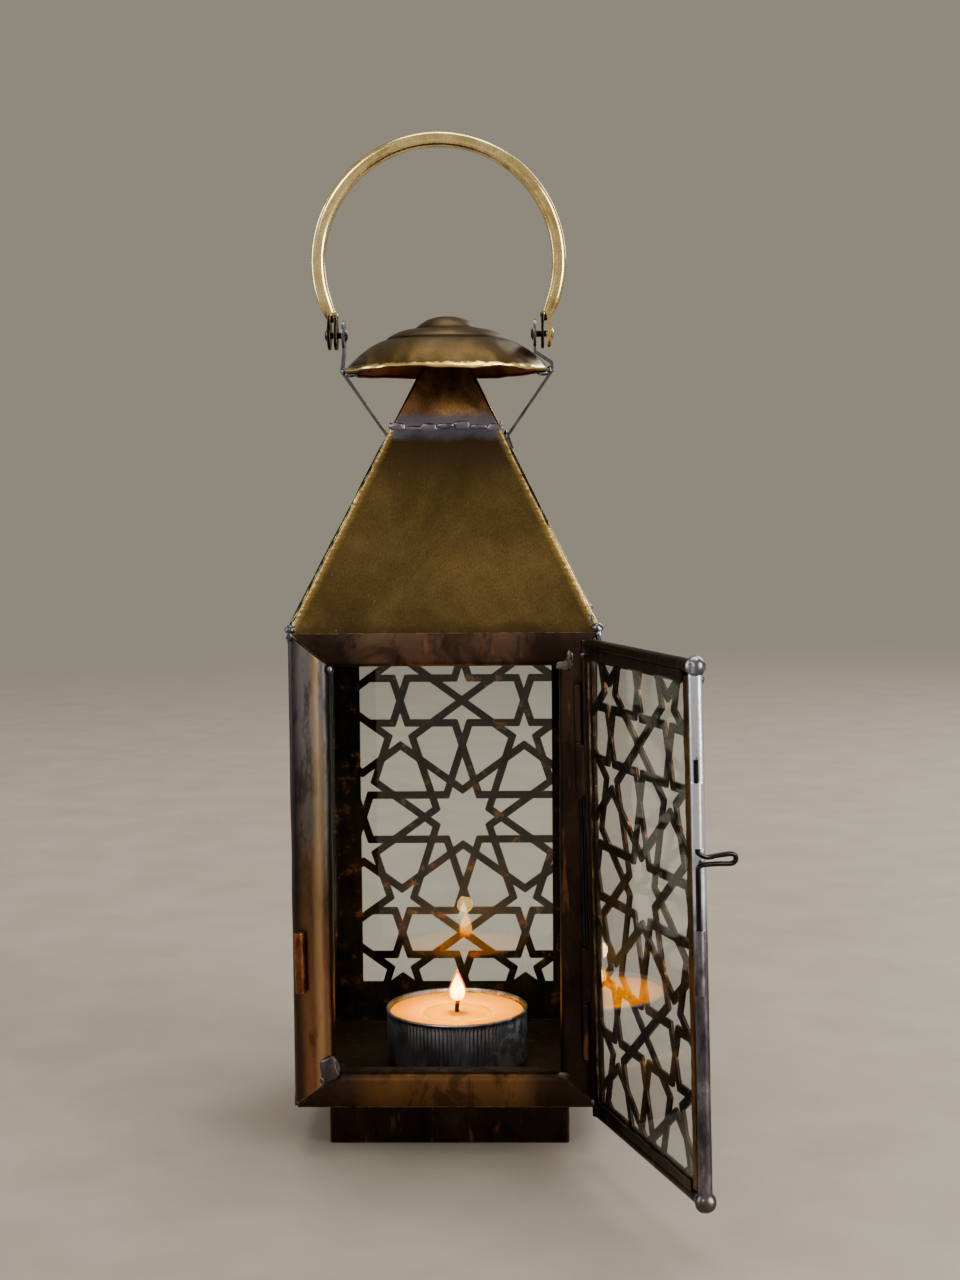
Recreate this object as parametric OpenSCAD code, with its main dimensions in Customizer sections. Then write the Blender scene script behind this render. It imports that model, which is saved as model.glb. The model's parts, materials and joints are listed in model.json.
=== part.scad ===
// Square candle lantern: soldered sheet-metal frame, three glazed strapwork walls, a glazed
// door on wire hinges with a sliding wire bolt, a pyramid roof, a spun vent cap, a swinging
// brass handle and a tealight. Origin: centre of the foot's underside, +Z up, door at -Y.

/* [Body] */
// Outer width of the square body
body_w = 77; // [74:0.5:82]
// Height of the body, from its bottom rails to the eaves
body_h = 119; // [115:1:125]
// Thickness of the frame sheet
sheet = 0.8; // [0.6:0.1:0.9]
// Width of a post's face, on each side of a corner
post_w = 10.2; // [9:0.1:10.6]
// Height of a rail's face
rail_h = 8.4; // [7.5:0.1:9.5]
// Depth of the folds along the front opening
fold_depth = 3.6; // [3:0.1:4.5]
// Depth of the bottom front rail's shelf
shelf_depth = 6; // [4:0.5:8]

/* [Foot] */
// Width of the square foot
foot_w = 61; // [56:1:66]
// Height of the foot
foot_h = 12; // [10:0.5:14]

/* [Roof] */
// Half width of the neck where the roof ends
neck_half = 14.1; // [13:0.1:15]
// Height of the roof above the eaves
roof_h = 50.4; // [48:0.2:53]
// Height of the chimney plates above the neck
chimney_h = 21; // [19:0.5:22]
// Half width of a chimney plate at its top
chimney_top_half = 2.9; // [2:0.1:3]

/* [Cap] */
// Radius of the cap's rim
cap_r = 26.7; // [26:0.1:27.2]
// Height of the rim above the neck
cap_rise = 15.6; // [15:0.1:16.5]
// Height of the dome above its rim
cap_h = 13.8; // [13:0.1:15]

/* [Handle] */
// Mean radius of the handle's arch
arch_r = 31.4; // [31:0.1:32.5]
// Height of the arch's centre above the pivots
arch_rise = 18.8; // [18:0.1:20]
// Sideways set of the handle and its ears
handle_shift = -2; // [-2.5:0.5:0]
// Width of the handle's section, seen from the front
handle_t = 3.6; // [3.2:0.1:4]
// Depth of the handle's section, front to back
handle_d = 5; // [4.5:0.1:5.5]

/* [Door] */
// Distance of the hinge axis from the centre plane
hinge_x = 34; // [33.5:0.1:35.5]
// Distance of the bolt axis from the centre plane
bolt_x = 36.8; // [36.5:0.1:37]
// Angle that the door stands open at
door_open = 108.5; // [0:0.5:140]
// Lean of the hinge axis, its top towards the latch side
hinge_lean = 1.2; // [0:0.1:1.5]
// Distance that the door hangs below the body
door_drop = 1.2; // [0:0.1:1.5]
// Diameter of the door's tubes
tube_d = 3.2; // [3:0.1:3.4]
// Diameter of the hinge and bolt sleeves
sleeve_d = 2.7; // [2.6:0.1:2.8]
// Diameter of the hinge wire and the bolt wire
wire_d = 1.1; // [1:0.05:1.2]
// Length of the bolt's hairpin pull
pull_l = 8.6; // [7:0.2:10]

/* [Strapwork] */
// Half the height of one repeat of the pattern
half_repeat = 33.6; // [31:0.1:34]
// Width of a strap
strap_w = 2.1; // [1.5:0.1:2.3]
// Thickness of the strapwork sheet
lattice_t = 0.7; // [0.5:0.1:0.7]

/* [Tealight] */
// Radius of the tealight cup
cup_r = 19; // [18:0.5:19.5]
// Height of the tealight cup
cup_h = 14.6; // [13:0.1:17]

/* [Hidden] */

$fn = 48;
half = body_w / 2;
z_base = foot_h;
z_eave = foot_h + body_h;
z_neck = z_eave + roof_h;
z_rim = z_neck + cap_rise;
inner_half = half - sheet;      // inside face of the frame sheet
slack = 0.1;                    // gap between sheets that lie against each other
mitre_gap = 0.12;               // open line at a mitred corner
floor_z = z_base + sheet;       // top of the floor plate
glass_t = 1.8;
lattice_in = inner_half - slack - lattice_t;
glass_in = lattice_in - slack - glass_t;
wall_z0 = floor_z + slack;
wall_h = z_eave - sheet - wall_z0;
window_half = 27.4;             // half width of a wall's window
window_h = 95.8;
pattern_z = 72.1;               // height of the pattern's centre in a wall
roof_slope = (half - neck_half) / roof_h;

pivot_z = 206.2;
ear_r = 3.9;
ear_x = 25;                     // distance of an ear's middle from the handle's centre
leaf_x = 26.6;                  // distance of a handle leaf's inner face from that centre
rivet_r = 0.8;

hinge_y = -half - 1.7;          // hinge and bolt axes, in front of the body
stile_in = 2.95;                // stile tube, inwards from its sleeve's axis
stile_out = 1.48;               // stile tube, outwards from its sleeve's axis
tube_r = tube_d / 2;
sleeve_r = sleeve_d / 2;
wire_r = wire_d / 2;
bore_r = wire_r + 0.05;
door_y = hinge_y - stile_out;
stile_hinge_x = hinge_x - stile_in;
stile_free_x = -bolt_x + stile_in;
bar_z0 = z_base + tube_r - door_drop;
bar_z1 = z_eave - tube_r - door_drop;
lip = 3.2;                      // reach of a door bar's channel, from the tube's centre
lip_t = 2.8;
panel_gap = 2;                  // slot of the door's channel
bite = 1.4;                     // how far the door's panes enter the channel
door_glass_t = 1.2;
door_lattice_t = 0.6;
// Heights of the latch side: sleeves on the door, the keeper on the post
upper_sleeve = [90.3, 104.2];
lower_sleeve = [58.7, 72.7];
keeper = [43.2, 58.3];
// Heights of the hinge side: post knuckles and door knuckles
post_upper = [104.5, 118.4];
door_upper = [90.3, 104.2];
post_lower = [24.9, 38.8];
door_lower = [39.1, 53];

candle_x = 1;
candle_y = -0.8;

dark_metal = "#4a4440";
roof_brass = "#7d6a3a";
bright_brass = "#c9a95c";
solder_grey = "#9a9a98";
black_wire = "#1c1c1f";
clear_glass = "#b9c8c4";

// ---- helpers ----

// Point at compass bearing a (from +Y, clockwise) and distance r
function pol(a, r) = [r * sin(a), r * cos(a)];
// n points on a bulging line from a to b; sag is its height over the chord
function bulge(a, b, sag, n) = [
    for (i = [0 : n - 1])
        let (t = i / n, d = b - a, s = 4 * sag * t * (1 - t) / norm(d))
        a + t * d + s * [-d[1], d[0]] * -1
];

module both_sides() {
    children();
    mirror([1, 0, 0]) children();
}

// Extrudes a drawing of the XZ plane along +Y, from y to y + t
module upright(y, t) {
    translate([0, y + t, 0]) rotate([90, 0, 0]) linear_extrude(t) children();
}

// ---- strapwork ----

star_r = half_repeat / 3.618;   // tips of a five-pointed star
ring_r = 3.236 * star_r;        // ring of ten stars round the centre
touch_r = 2.236 * star_r;       // star tips that point at the centre
heart_r = 0.854 * star_r;       // inner corners of the ten-pointed star

function star_c(k) = pol(36 * k, ring_r);
function tip(k, j) = star_c(k) + pol(36 * k + 180 + 72 * j, star_r);
function notch(k, j) = star_c(k) + pol(36 * k + 216 + 72 * j, 0.382 * star_r);

heart_lines = [
    for (k = [0 : 9], s = [-1, 1]) [pol(36 * k, heart_r), pol(36 * (k + s), touch_r)]
];
star_lines = [
    for (k = [1, 2, 3, 4, 6, 7, 8, 9], j = [0 : 4], s = [0, 1])
        [notch(k, j), tip(k, j + s)]
];
// The two stars on the pattern's axis share their outer lines with the next repeat
axis_lines = [
    for (k = [0, 5], j = [1, 4])
        each [
            [tip(k, 0), notch(k, j == 1 ? 0 : 4)],
            [notch(k, j == 1 ? 0 : 4), tip(k, j)],
            [tip(k, j), pol(36 * k, half_repeat)],
        ]
];
outer_lines = [
    for (k = [1, 9, 4, 6])
        let (x = sign(sin(36 * k)), y = sign(cos(36 * k)), p = [x * 2.853, y * 2.927] * star_r)
        [p, p + [x * 6, y * 4.36]]
];
repeat_lines = concat(heart_lines, star_lines, axis_lines, outer_lines);

function flip(p, s) = [p[0], s * 2 * half_repeat - p[1]];
function near(l, w, h) =
    min(abs(l[0][0]), abs(l[1][0])) < w + strap_w && min(abs(l[0][1]), abs(l[1][1])) < h + strap_w;

module strap(l) {
    d = l[1] - l[0];
    len = norm(d) + 0.6 * strap_w;
    translate((l[0] + l[1]) / 2) rotate(atan2(d[1], d[0])) square([len, strap_w], center = true);
}

// Straps of a window 2w wide and 2h high, round the pattern's centre
module straps(w, h) {
    lines = [
        for (l = concat(
            repeat_lines,
            [for (l = repeat_lines, s = [-1, 1]) [flip(l[0], s), flip(l[1], s)]]))
            if (near(l, w, h)) l
    ];
    for (l = lines) strap(l);
}

// A sheet 2w wide from z0 to z1, pierced by a window with straps round (px, pz)
module pierced(w, z0, z1, ww, wz0, wz1, px, pz) {
    difference() {
        translate([-w, z0]) square([2 * w, z1 - z0]);
        translate([-ww, wz0]) square([2 * ww, wz1 - wz0]);
    }
    intersection() {
        translate([-ww - 0.2, wz0 - 0.2]) square([2 * ww + 0.4, wz1 - wz0 + 0.4]);
        translate([px, pz]) straps(ww + 2, max(wz1 - pz, pz - wz0) + 2);
    }
}

// ---- foot and floor ----

module foot_pan() {
    color(dark_metal) difference() {
        translate([-foot_w / 2, -foot_w / 2, 0]) cube([foot_w, foot_w, foot_h]);
        translate([-foot_w / 2 + sheet, -foot_w / 2 + sheet, sheet])
            cube([foot_w - 2 * sheet, foot_w - 2 * sheet, foot_h]);
    }
}

module floor_plate() {
    side = 2 * (inner_half - slack);
    color(dark_metal) translate([-side / 2, -side / 2, z_base]) cube([side, side, sheet]);
}

// ---- frame ----

// One face of a post, in the XZ plane, mitred at both ends; corner at x = -half
module post_face() {
    polygon([
        [-half, z_base], [-half, z_eave], [-inner_half, z_eave],
        [-half + post_w, z_eave - rail_h], [-half + post_w, z_base + rail_h],
        [-inner_half, z_base],
    ]);
}

// Corner post with its corner at (-half, -half); folded faces edge the front opening
module post(folded) {
    color(dark_metal) {
        upright(-half, sheet) post_face();
        rotate(-90) mirror([1, 0, 0]) upright(-half, sheet) post_face();
        if (folded)
            translate([-half + post_w - sheet, -half, z_base + rail_h + 0.1])
                cube([sheet, fold_depth, body_h - 2 * rail_h - 0.2]);
    }
}

module post_front_left() post(true);
module post_front_right() mirror([1, 0, 0]) post(true);
module post_back_left() mirror([0, 1, 0]) post(false);
module post_back_right() rotate(180) post(false);

// Rail face on the front, mitred into the posts; top rails hang from the eaves
module rail(top, fold) {
    a = inner_half - mitre_gap;
    b = half - post_w - mitre_gap;
    outer = top ? z_eave : z_base;
    inner = top ? z_eave - rail_h : z_base + rail_h;
    color(dark_metal) {
        upright(-half, sheet) polygon([[-a, outer], [a, outer], [b, inner], [-b, inner]]);
        if (fold > 0)
            translate([-b + 1, -half, top ? inner : inner - sheet])
                cube([2 * b - 2, fold, sheet]);
    }
}

module rail_top_front() rail(true, fold_depth);
module rail_top_right() rotate(90) rail(true, 0);
module rail_top_back() rotate(180) rail(true, 0);
module rail_top_left() rotate(270) rail(true, 0);
module rail_bottom_front() rail(false, shelf_depth);
module rail_bottom_right() rotate(90) rail(false, 0);
module rail_bottom_back() rotate(180) rail(false, 0);
module rail_bottom_left() rotate(270) rail(false, 0);

// ---- walls: strapwork outside, glass inside ----

side_wall_end = lattice_in - slack;

module side_glass() {
    color(clear_glass)
        translate([-lattice_in + slack, -inner_half + slack, wall_z0])
            cube([glass_t, inner_half - slack + side_wall_end, wall_h]);
}
module glass_left() side_glass();
module glass_right() mirror([1, 0, 0]) side_glass();
module glass_back() {
    w = glass_in - slack;
    color(clear_glass) translate([-w, glass_in, wall_z0]) cube([2 * w, glass_t, wall_h]);
}

module wall_lattice(w, shift) {
    color(dark_metal) upright(lattice_in, lattice_t)
        pierced(w, wall_z0, wall_z0 + wall_h,
            window_half, pattern_z - window_h / 2, pattern_z + window_h / 2, shift, pattern_z);
}
module lattice_back() wall_lattice(inner_half - slack, 1.8);
module lattice_left() rotate(90) wall_lattice(side_wall_end, 0);
module lattice_right() rotate(-90) wall_lattice(side_wall_end, 0);

// ---- roof and chimney ----

// Sloping plate on the front side, from half width w0 at (y0, z0) to w1 at (y1, z1)
module sloping_plate(w0, y0, z0, w1, y1, z1, t, trim) {
    v = [
        [-w0, -y0, z0], [w0, -y0, z0], [w1, -y1, z1], [-w1, -y1, z1],
        [-w0 + trim, -y0 + t, z0], [w0 - trim, -y0 + t, z0],
        [w1 - trim, -y1 + t, z1], [-w1 + trim, -y1 + t, z1],
    ];
    polyhedron(v, [
        [3, 2, 1, 0], [4, 5, 6, 7], [0, 1, 5, 4], [2, 3, 7, 6], [1, 2, 6, 5], [3, 0, 4, 7],
    ]);
}

roof_t = sheet * 1.1;
module roof_panel() {
    color(roof_brass)
        sloping_plate(half - 0.05, half, z_eave, neck_half - 0.05, neck_half, z_neck, roof_t, roof_t);
}
module roof_front() roof_panel();
module roof_right() rotate(90) roof_panel();
module roof_back() rotate(180) roof_panel();
module roof_left() rotate(270) roof_panel();

module chimney_plate() {
    color(dark_metal)
        sloping_plate(neck_half - 0.3, neck_half, z_neck, chimney_top_half,
            neck_half - roof_slope * chimney_h, z_neck + chimney_h, sheet, sheet);
}
module chimney_front() chimney_plate();
module chimney_right() rotate(90) chimney_plate();
module chimney_back() rotate(180) chimney_plate();
module chimney_left() rotate(270) chimney_plate();

// ---- cap ----

cap_steps = [[15.6, 8.2], [8, 11]];     // radius and height of each stepped ring
cap_outline = concat(
    bulge([cap_r, 0], [cap_steps[0][0] + 0.8, cap_steps[0][1] - 0.5], 0.8, 8),
    [[cap_steps[0][0] + 0.5, cap_steps[0][1] - 0.5]],
    bulge(cap_steps[0], [cap_steps[1][0] + 0.8, cap_steps[1][1] - 0.4], 0.5, 6),
    [[cap_steps[1][0] + 0.5, cap_steps[1][1] - 0.4]],
    bulge(cap_steps[1], [0, cap_h], 0.9, 8),
    [[0, cap_h]]
);

module vent_cap() {
    count = len(cap_outline);
    inner = [for (i = [count - 1 : -1 : 0]) [cap_outline[i][0] * 0.985, cap_outline[i][1] - 0.75]];
    color(roof_brass) translate([0, 0, z_rim]) rotate_extrude($fn = 96) {
        polygon(concat(cap_outline, inner));
        translate([cap_r - 0.35, -0.3]) circle(r = 0.55, $fn = 24);
    }
}

// ---- brackets, rivets, handle ----

// Strip bent along a path of the XZ plane, w wide along Y
module bent_strip(path, t, w) {
    upright(-w / 2, w) {
        for (i = [0 : len(path) - 2]) {
            d = path[i + 1] - path[i];
            translate(path[i]) rotate(atan2(d[1], d[0]))
                translate([0, -t / 2]) square([norm(d), t]);
        }
        for (i = [1 : len(path) - 2]) translate(path[i]) circle(d = t * 0.98, $fn = 16);
    }
}

// Bracket on the +X side: foot on the roof, past the cap's rim, up to an ear at x
module bracket(x) {
    foot_x = neck_half + roof_slope * 2 + 0.5;
    color(dark_metal) difference() {
        union() {
            bent_strip([
                [foot_x + 1.4, z_neck - 5], [foot_x + 0.2, z_neck - 1.6],
                [cap_r + 0.9, z_rim - 0.2], [cap_r + 0.6, z_rim + 1.8],
                [x, pivot_z - 4.6], [x, pivot_z - 2.8],
            ], 0.7, 4);
            translate([x - 0.35, 0, pivot_z]) rotate([0, 90, 0]) cylinder(r = ear_r, h = 0.7);
        }
        translate([x - 2, 0, pivot_z]) rotate([0, 90, 0]) cylinder(r = rivet_r + 0.05, h = 4);
    }
}
module bracket_right() bracket(ear_x + handle_shift);
module bracket_left() mirror([1, 0, 0]) bracket(ear_x - handle_shift);

// Rivet on the +X side: a shaft through the ear and both handle leaves, with two heads
leaf_t = 0.8;
leaf_gap = 0.9;
module rivet(x) {
    inside = x + ear_x - 0.35 - 0.1;
    outside = x + leaf_x + 2 * leaf_t + leaf_gap + 0.3;
    color(bright_brass) translate([0, 0, pivot_z]) rotate([0, 90, 0]) {
        translate([0, 0, inside]) cylinder(r = rivet_r, h = outside - inside);
        translate([0, 0, inside - 0.6]) cylinder(r = 1.6, h = 0.6);
        translate([0, 0, outside]) cylinder(r = 1.6, h = 0.6);
    }
}
module rivet_right() rivet(handle_shift);
module rivet_left() mirror([1, 0, 0]) rivet(-handle_shift);

// Section of the handle: a folded strip, rounded, with the fold's slit on its front face
module handle_section() {
    r = 1.4;
    difference() {
        union() {
            square([handle_t, handle_d - 2 * r], center = true);
            square([handle_t - 2 * r, handle_d], center = true);
            for (x = [-1, 1], y = [-1, 1])
                translate([x * (handle_t / 2 - r), y * (handle_d / 2 - r)]) circle(r = r, $fn = 24);
        }
        translate([0.5, handle_d / 2 - 0.7]) square([0.5, 1]);
    }
}

arch_end = asin((arch_rise - 3.6) / arch_r);    // how far the arch goes below its centre
module handle_leg() {
    for (x = [leaf_x, leaf_x + leaf_t + leaf_gap])
        translate([x, 0, 0]) rotate([0, 90, 0]) cylinder(r = 3.8, h = leaf_t);
    translate([leaf_x, -handle_d / 2, 2.3])
        cube([2 * leaf_t + leaf_gap, handle_d, 2.6]);
}
module handle() {
    color(bright_brass) translate([handle_shift, 0, pivot_z]) difference() {
        union() {
            translate([0, 0, arch_rise]) rotate([90, 0, 0]) rotate(-arch_end)
                rotate_extrude(angle = 180 + 2 * arch_end, $fn = 128)
                    translate([arch_r, 0]) handle_section();
            both_sides() handle_leg();
        }
        both_sides() translate([leaf_x - 2, 0, 0]) rotate([0, 90, 0])
            cylinder(r = rivet_r + 0.06, h = 8);
    }
}

// ---- solder at the eaves ----

function square_at(w, z) = [[-w, -w, z], [w, -w, z], [w, w, z], [-w, w, z]];

// The roof's outer faces as one solid, grown sideways by grow, from 1 mm below the eaves
module roof_solid(grow) {
    polyhedron(
        concat(square_at(half + roof_slope + grow, z_eave - 1), square_at(neck_half + grow, z_neck)),
        [[0, 1, 2, 3], [7, 6, 5, 4], [0, 4, 5, 1], [1, 5, 6, 2], [2, 6, 7, 3], [3, 7, 4, 0]]);
}

// A lump on each corner of the eaves, shaped round the ends of the hips
module eave_solder() {
    color(solder_grey) difference() {
        for (a = [0 : 90 : 270]) rotate(a)
            translate([half - 1.1, half - 1.1, z_eave + 0.9]) sphere(r = 1.5, $fn = 24);
        roof_solid(0.03);
        translate([-half - 5, -half - 5, z_eave - 9.97]) cube([2 * half + 10, 2 * half + 10, 10]);
    }
}

// ---- hinge and latch on the body ----

// Leans what hangs on the front, with its sleeves, about the middle of the hinge axis
hang_z = 71.5;
module hung() {
    translate([hinge_x, 0, hang_z]) rotate([0, -hinge_lean, 0]) translate([-hinge_x, 0, -hang_z])
        children();
}

// Sleeve on a vertical axis at (x, hinge_y) over a range of heights
module sleeve(x, zz) {
    translate([x, hinge_y, zz[0]]) difference() {
        children();
        translate([0, 0, -1]) cylinder(r = bore_r, h = zz[1] - zz[0] + 2);
    }
}
// Sleeve soldered to the front of a post
module post_sleeve(x, zz) {
    h = zz[1] - zz[0];
    hung() sleeve(x, zz) {
        cylinder(r = sleeve_r, h = h);
        translate([-0.9, 0, 0.6]) cube([1.8, -half - hinge_y, h - 1.2]);
    }
}
module hinge_knuckle_upper() color(dark_metal) post_sleeve(hinge_x, post_upper);
module hinge_knuckle_lower() color(dark_metal) post_sleeve(hinge_x, post_lower);
module bolt_keeper() color("#8a5a3c") post_sleeve(-bolt_x, keeper);

// Hinge wire: straight through the knuckles, with a peened head at each end
module hinge_wire() {
    head_r = 1.15;
    head_h = 0.5;
    bottom = post_lower[0] - 0.1 - head_h;
    top = post_upper[1] + 0.1;
    color(black_wire) hung() translate([hinge_x, hinge_y, 0]) {
        translate([0, 0, bottom]) cylinder(r = wire_r, h = top + head_h - bottom);
        for (z = [bottom, top]) translate([0, 0, z]) cylinder(r = head_r, h = head_h);
    }
}

// ---- door, modelled shut and turned open about its hinge ----

module open_door() {
    hung() translate([hinge_x, hinge_y, 0]) rotate(door_open) translate([-hinge_x, -hinge_y, 0])
        children();
}

// Section of a door bar: tube at the origin, channel for the panes towards +X
module bar_section() {
    difference() {
        union() {
            circle(r = tube_r);
            translate([0, -lip_t / 2]) square([lip, lip_t]);
        }
        translate([lip - bite - 0.2, -panel_gap / 2]) square([lip, panel_gap]);
    }
}
stile_end = 1.2;                // how far a stile's tube passes its bars

module door_bar(z, up) {
    x0 = stile_free_x + tube_r + 0.1;
    x1 = stile_hinge_x - tube_r - 0.1;
    open_door() color(dark_metal) translate([x0, door_y, z]) rotate([90, 0, 90])
        linear_extrude(x1 - x0) rotate(up ? 90 : -90) bar_section();
}
module door_top_bar() door_bar(bar_z1, false);
module door_bottom_bar() door_bar(bar_z0, true);

module door_stile() {
    z0 = bar_z0 + lip + 0.1;
    z1 = bar_z1 - lip - 0.1;
    translate([0, 0, bar_z0 - stile_end]) cylinder(r = tube_r, h = bar_z1 - bar_z0 + 2 * stile_end);
    translate([0, 0, z0]) linear_extrude(z1 - z0) bar_section();
}
module door_free_stile() {
    open_door() color(dark_metal) translate([stile_free_x, door_y, 0]) door_stile();
}
module door_hinge_stile() {
    open_door() color(dark_metal) translate([stile_hinge_x, door_y, 0]) mirror([1, 0, 0])
        door_stile();
}

pane_x0 = stile_free_x + lip - bite;
pane_x1 = stile_hinge_x - lip + bite;
pane_z0 = bar_z0 + lip - bite;
pane_z1 = bar_z1 - lip + bite;
module door_glass() {
    open_door() color(clear_glass)
        translate([pane_x0, door_y - panel_gap / 2 + door_lattice_t + slack, pane_z0])
            cube([pane_x1 - pane_x0, door_glass_t, pane_z1 - pane_z0]);
}
module door_lattice() {
    mid = (pane_x0 + pane_x1) / 2;
    w = (pane_x1 - pane_x0) / 2;
    open_door() color(dark_metal) translate([mid, door_y - panel_gap / 2 + 0.05, 0])
        upright(0, door_lattice_t)
            pierced(w, pane_z0, pane_z1, w - bite - 0.6, pane_z0 + bite + 0.6,
                pane_z1 - bite - 0.6, 0, 74);
}

// Sleeve soldered to a stile, whose tube is at (side * stile_in, -stile_out) from the axis
module door_sleeve(x, side, zz) {
    h = zz[1] - zz[0];
    open_door() sleeve(x, zz) {
        difference() {
            union() {
                cylinder(r = sleeve_r, h = h);
                rotate(side > 0 ? atan2(-stile_out, stile_in) : 180 + atan2(stile_out, stile_in))
                    translate([0, -0.8, 0.6]) cube([norm([stile_in, stile_out]), 1.6, h - 1.2]);
            }
            translate([side * stile_in, -stile_out, -1]) cylinder(r = tube_r + 0.01, h = h + 2);
        }
    }
}
module door_knuckle_upper() color(dark_metal) door_sleeve(hinge_x, -1, door_upper);
module door_knuckle_lower() color(dark_metal) door_sleeve(hinge_x, -1, door_lower);
module bolt_sleeve_upper() color(dark_metal) door_sleeve(-bolt_x, 1, upper_sleeve);
module bolt_sleeve_lower() color(dark_metal) door_sleeve(-bolt_x, 1, lower_sleeve);

// Solder ball over a free corner, cast round the end of the stile and against the bar
module corner_ball(z, r, up) {
    open_door() color(solder_grey) translate([stile_free_x, door_y, z])
        mirror([0, 0, up ? 0 : 1]) difference() {
            sphere(r = r, $fn = 32);
            translate([0, 0, stile_end - 10]) cylinder(r = tube_r + 0.01, h = 10.01);
            translate([tube_r, -5, -5]) cube([10, 10, 10]);
        }
}
module door_ball_top() corner_ball(bar_z1, 2.3, true);
module door_ball_bottom() corner_ball(bar_z0, 2.5, false);

// Bolt: a wire in both sleeves, with a hairpin pull that stands out of the door's face
module latch_bolt() {
    leg_low = 60;
    pull_low = upper_sleeve[0] - 4;
    pull_high = pull_low + 2.2;
    leg_top = 108.6;
    open_door() color(black_wire) translate([-bolt_x, hinge_y, 0]) {
        translate([0, 0, leg_low]) cylinder(r = wire_r, h = pull_low - leg_low);
        translate([0, 0, pull_high]) cylinder(r = wire_r, h = leg_top - pull_high);
        for (z = [pull_low, pull_high]) {
            translate([0, 0, z]) sphere(r = wire_r, $fn = 24);
            translate([0, 0, z]) rotate([90, 0, 0]) cylinder(r = wire_r, h = pull_l);
        }
        translate([0, -pull_l, (pull_low + pull_high) / 2]) rotate([90, 0, 90])
            rotate(90) rotate_extrude(angle = 180, $fn = 32)
                translate([(pull_high - pull_low) / 2, 0]) circle(r = wire_r, $fn = 24);
    }
}

// ---- tealight ----

wax_top = cup_h - 1.3;
cup_t = 0.3;
module at_candle() translate([candle_x, candle_y, floor_z]) children();

module tealight_cup() {
    at_candle() color("silver") rotate_extrude($fn = 96) polygon([
        [0, 0], [cup_r - 0.8, 0], [cup_r - 0.2, 0.6], [cup_r - 0.2, cup_h - 0.6],
        [cup_r, cup_h - 0.5], [cup_r, cup_h], [cup_r - 0.5, cup_h],
        [cup_r - 0.2 - cup_t, cup_h - 0.6], [cup_r - 0.2 - cup_t, cup_t + 0.6],
        [cup_r - 1, cup_t], [0, cup_t],
    ]);
}
module candle_wax() {
    at_candle() color("#f3c9a0") difference() {
        translate([0, 0, cup_t + 1]) cylinder(r = cup_r - 0.6, h = wax_top - cup_t - 1, $fn = 96);
        translate([0, 0, wax_top - 0.7]) cylinder(r1 = 7, r2 = 9, h = 0.8, $fn = 96);
        cylinder(r = 1, h = wax_top);
        cylinder(r = 5.2, h = cup_t + 1.6);
    }
}
module wick() {
    at_candle() color(black_wire) translate([0, 0, cup_t + 0.8])
        cylinder(r = 0.6, h = wax_top + 3.4 - cup_t - 0.8, $fn = 24);
}
module wick_clip() {
    at_candle() color("silver") translate([0, 0, cup_t]) difference() {
        union() {
            cylinder(r = 5, h = 0.4);
            cylinder(r = 0.95, h = 4);
        }
        translate([0, 0, 0.5]) cylinder(r = 0.62, h = 5);
    }
}

foot_pan();
floor_plate();
post_front_left();
post_front_right();
post_back_left();
post_back_right();
rail_top_front();
rail_top_back();
rail_top_left();
rail_top_right();
rail_bottom_front();
rail_bottom_back();
rail_bottom_left();
rail_bottom_right();
glass_left();
glass_right();
glass_back();
lattice_left();
lattice_right();
lattice_back();
roof_front();
roof_back();
roof_left();
roof_right();
chimney_front();
chimney_back();
chimney_left();
chimney_right();
vent_cap();
bracket_left();
bracket_right();
rivet_left();
rivet_right();
eave_solder();
hinge_knuckle_upper();
hinge_knuckle_lower();
hinge_wire();
bolt_keeper();
door_top_bar();
door_bottom_bar();
door_hinge_stile();
door_free_stile();
door_glass();
door_lattice();
door_knuckle_upper();
door_knuckle_lower();
bolt_sleeve_upper();
bolt_sleeve_lower();
door_ball_top();
door_ball_bottom();
latch_bolt();
handle();
tealight_cup();
candle_wax();
wick();
wick_clip();
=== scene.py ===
"""Looks of a square candle lantern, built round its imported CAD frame.

Lengths in the mesh code are millimetres.
"""

import json
import math

import bpy
import bmesh
from mathutils import Matrix, Vector, noise


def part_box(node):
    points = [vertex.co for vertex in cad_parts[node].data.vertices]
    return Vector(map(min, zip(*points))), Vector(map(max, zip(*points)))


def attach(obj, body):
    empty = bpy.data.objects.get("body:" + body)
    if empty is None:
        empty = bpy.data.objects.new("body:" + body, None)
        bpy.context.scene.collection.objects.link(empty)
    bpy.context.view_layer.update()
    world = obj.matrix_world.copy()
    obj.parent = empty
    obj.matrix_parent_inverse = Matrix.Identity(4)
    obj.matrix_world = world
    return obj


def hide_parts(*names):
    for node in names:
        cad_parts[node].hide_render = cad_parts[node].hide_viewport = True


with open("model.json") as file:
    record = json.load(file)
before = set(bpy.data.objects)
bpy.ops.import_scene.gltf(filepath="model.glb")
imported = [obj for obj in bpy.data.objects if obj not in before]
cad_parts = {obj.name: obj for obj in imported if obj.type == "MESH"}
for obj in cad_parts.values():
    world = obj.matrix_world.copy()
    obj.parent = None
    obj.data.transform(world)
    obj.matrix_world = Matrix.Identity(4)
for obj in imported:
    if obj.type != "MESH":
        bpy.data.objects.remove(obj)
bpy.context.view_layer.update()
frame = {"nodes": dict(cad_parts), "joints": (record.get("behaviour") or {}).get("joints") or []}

MM = 0.001
TAU = 2 * math.pi
BODY = "lantern_body"
SIDES = ("front", "right", "back", "left")


# ---- places from the frame ----

def mm_box(node):
    """Lowest and highest corner of a CAD node, in millimetres."""
    low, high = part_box(node)
    return low / MM, high / MM


def centre(node):
    low, high = mm_box(node)
    return (low + high) / 2


def joint(name):
    return next(j for j in frame["joints"] if j["name"] == name)


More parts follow.
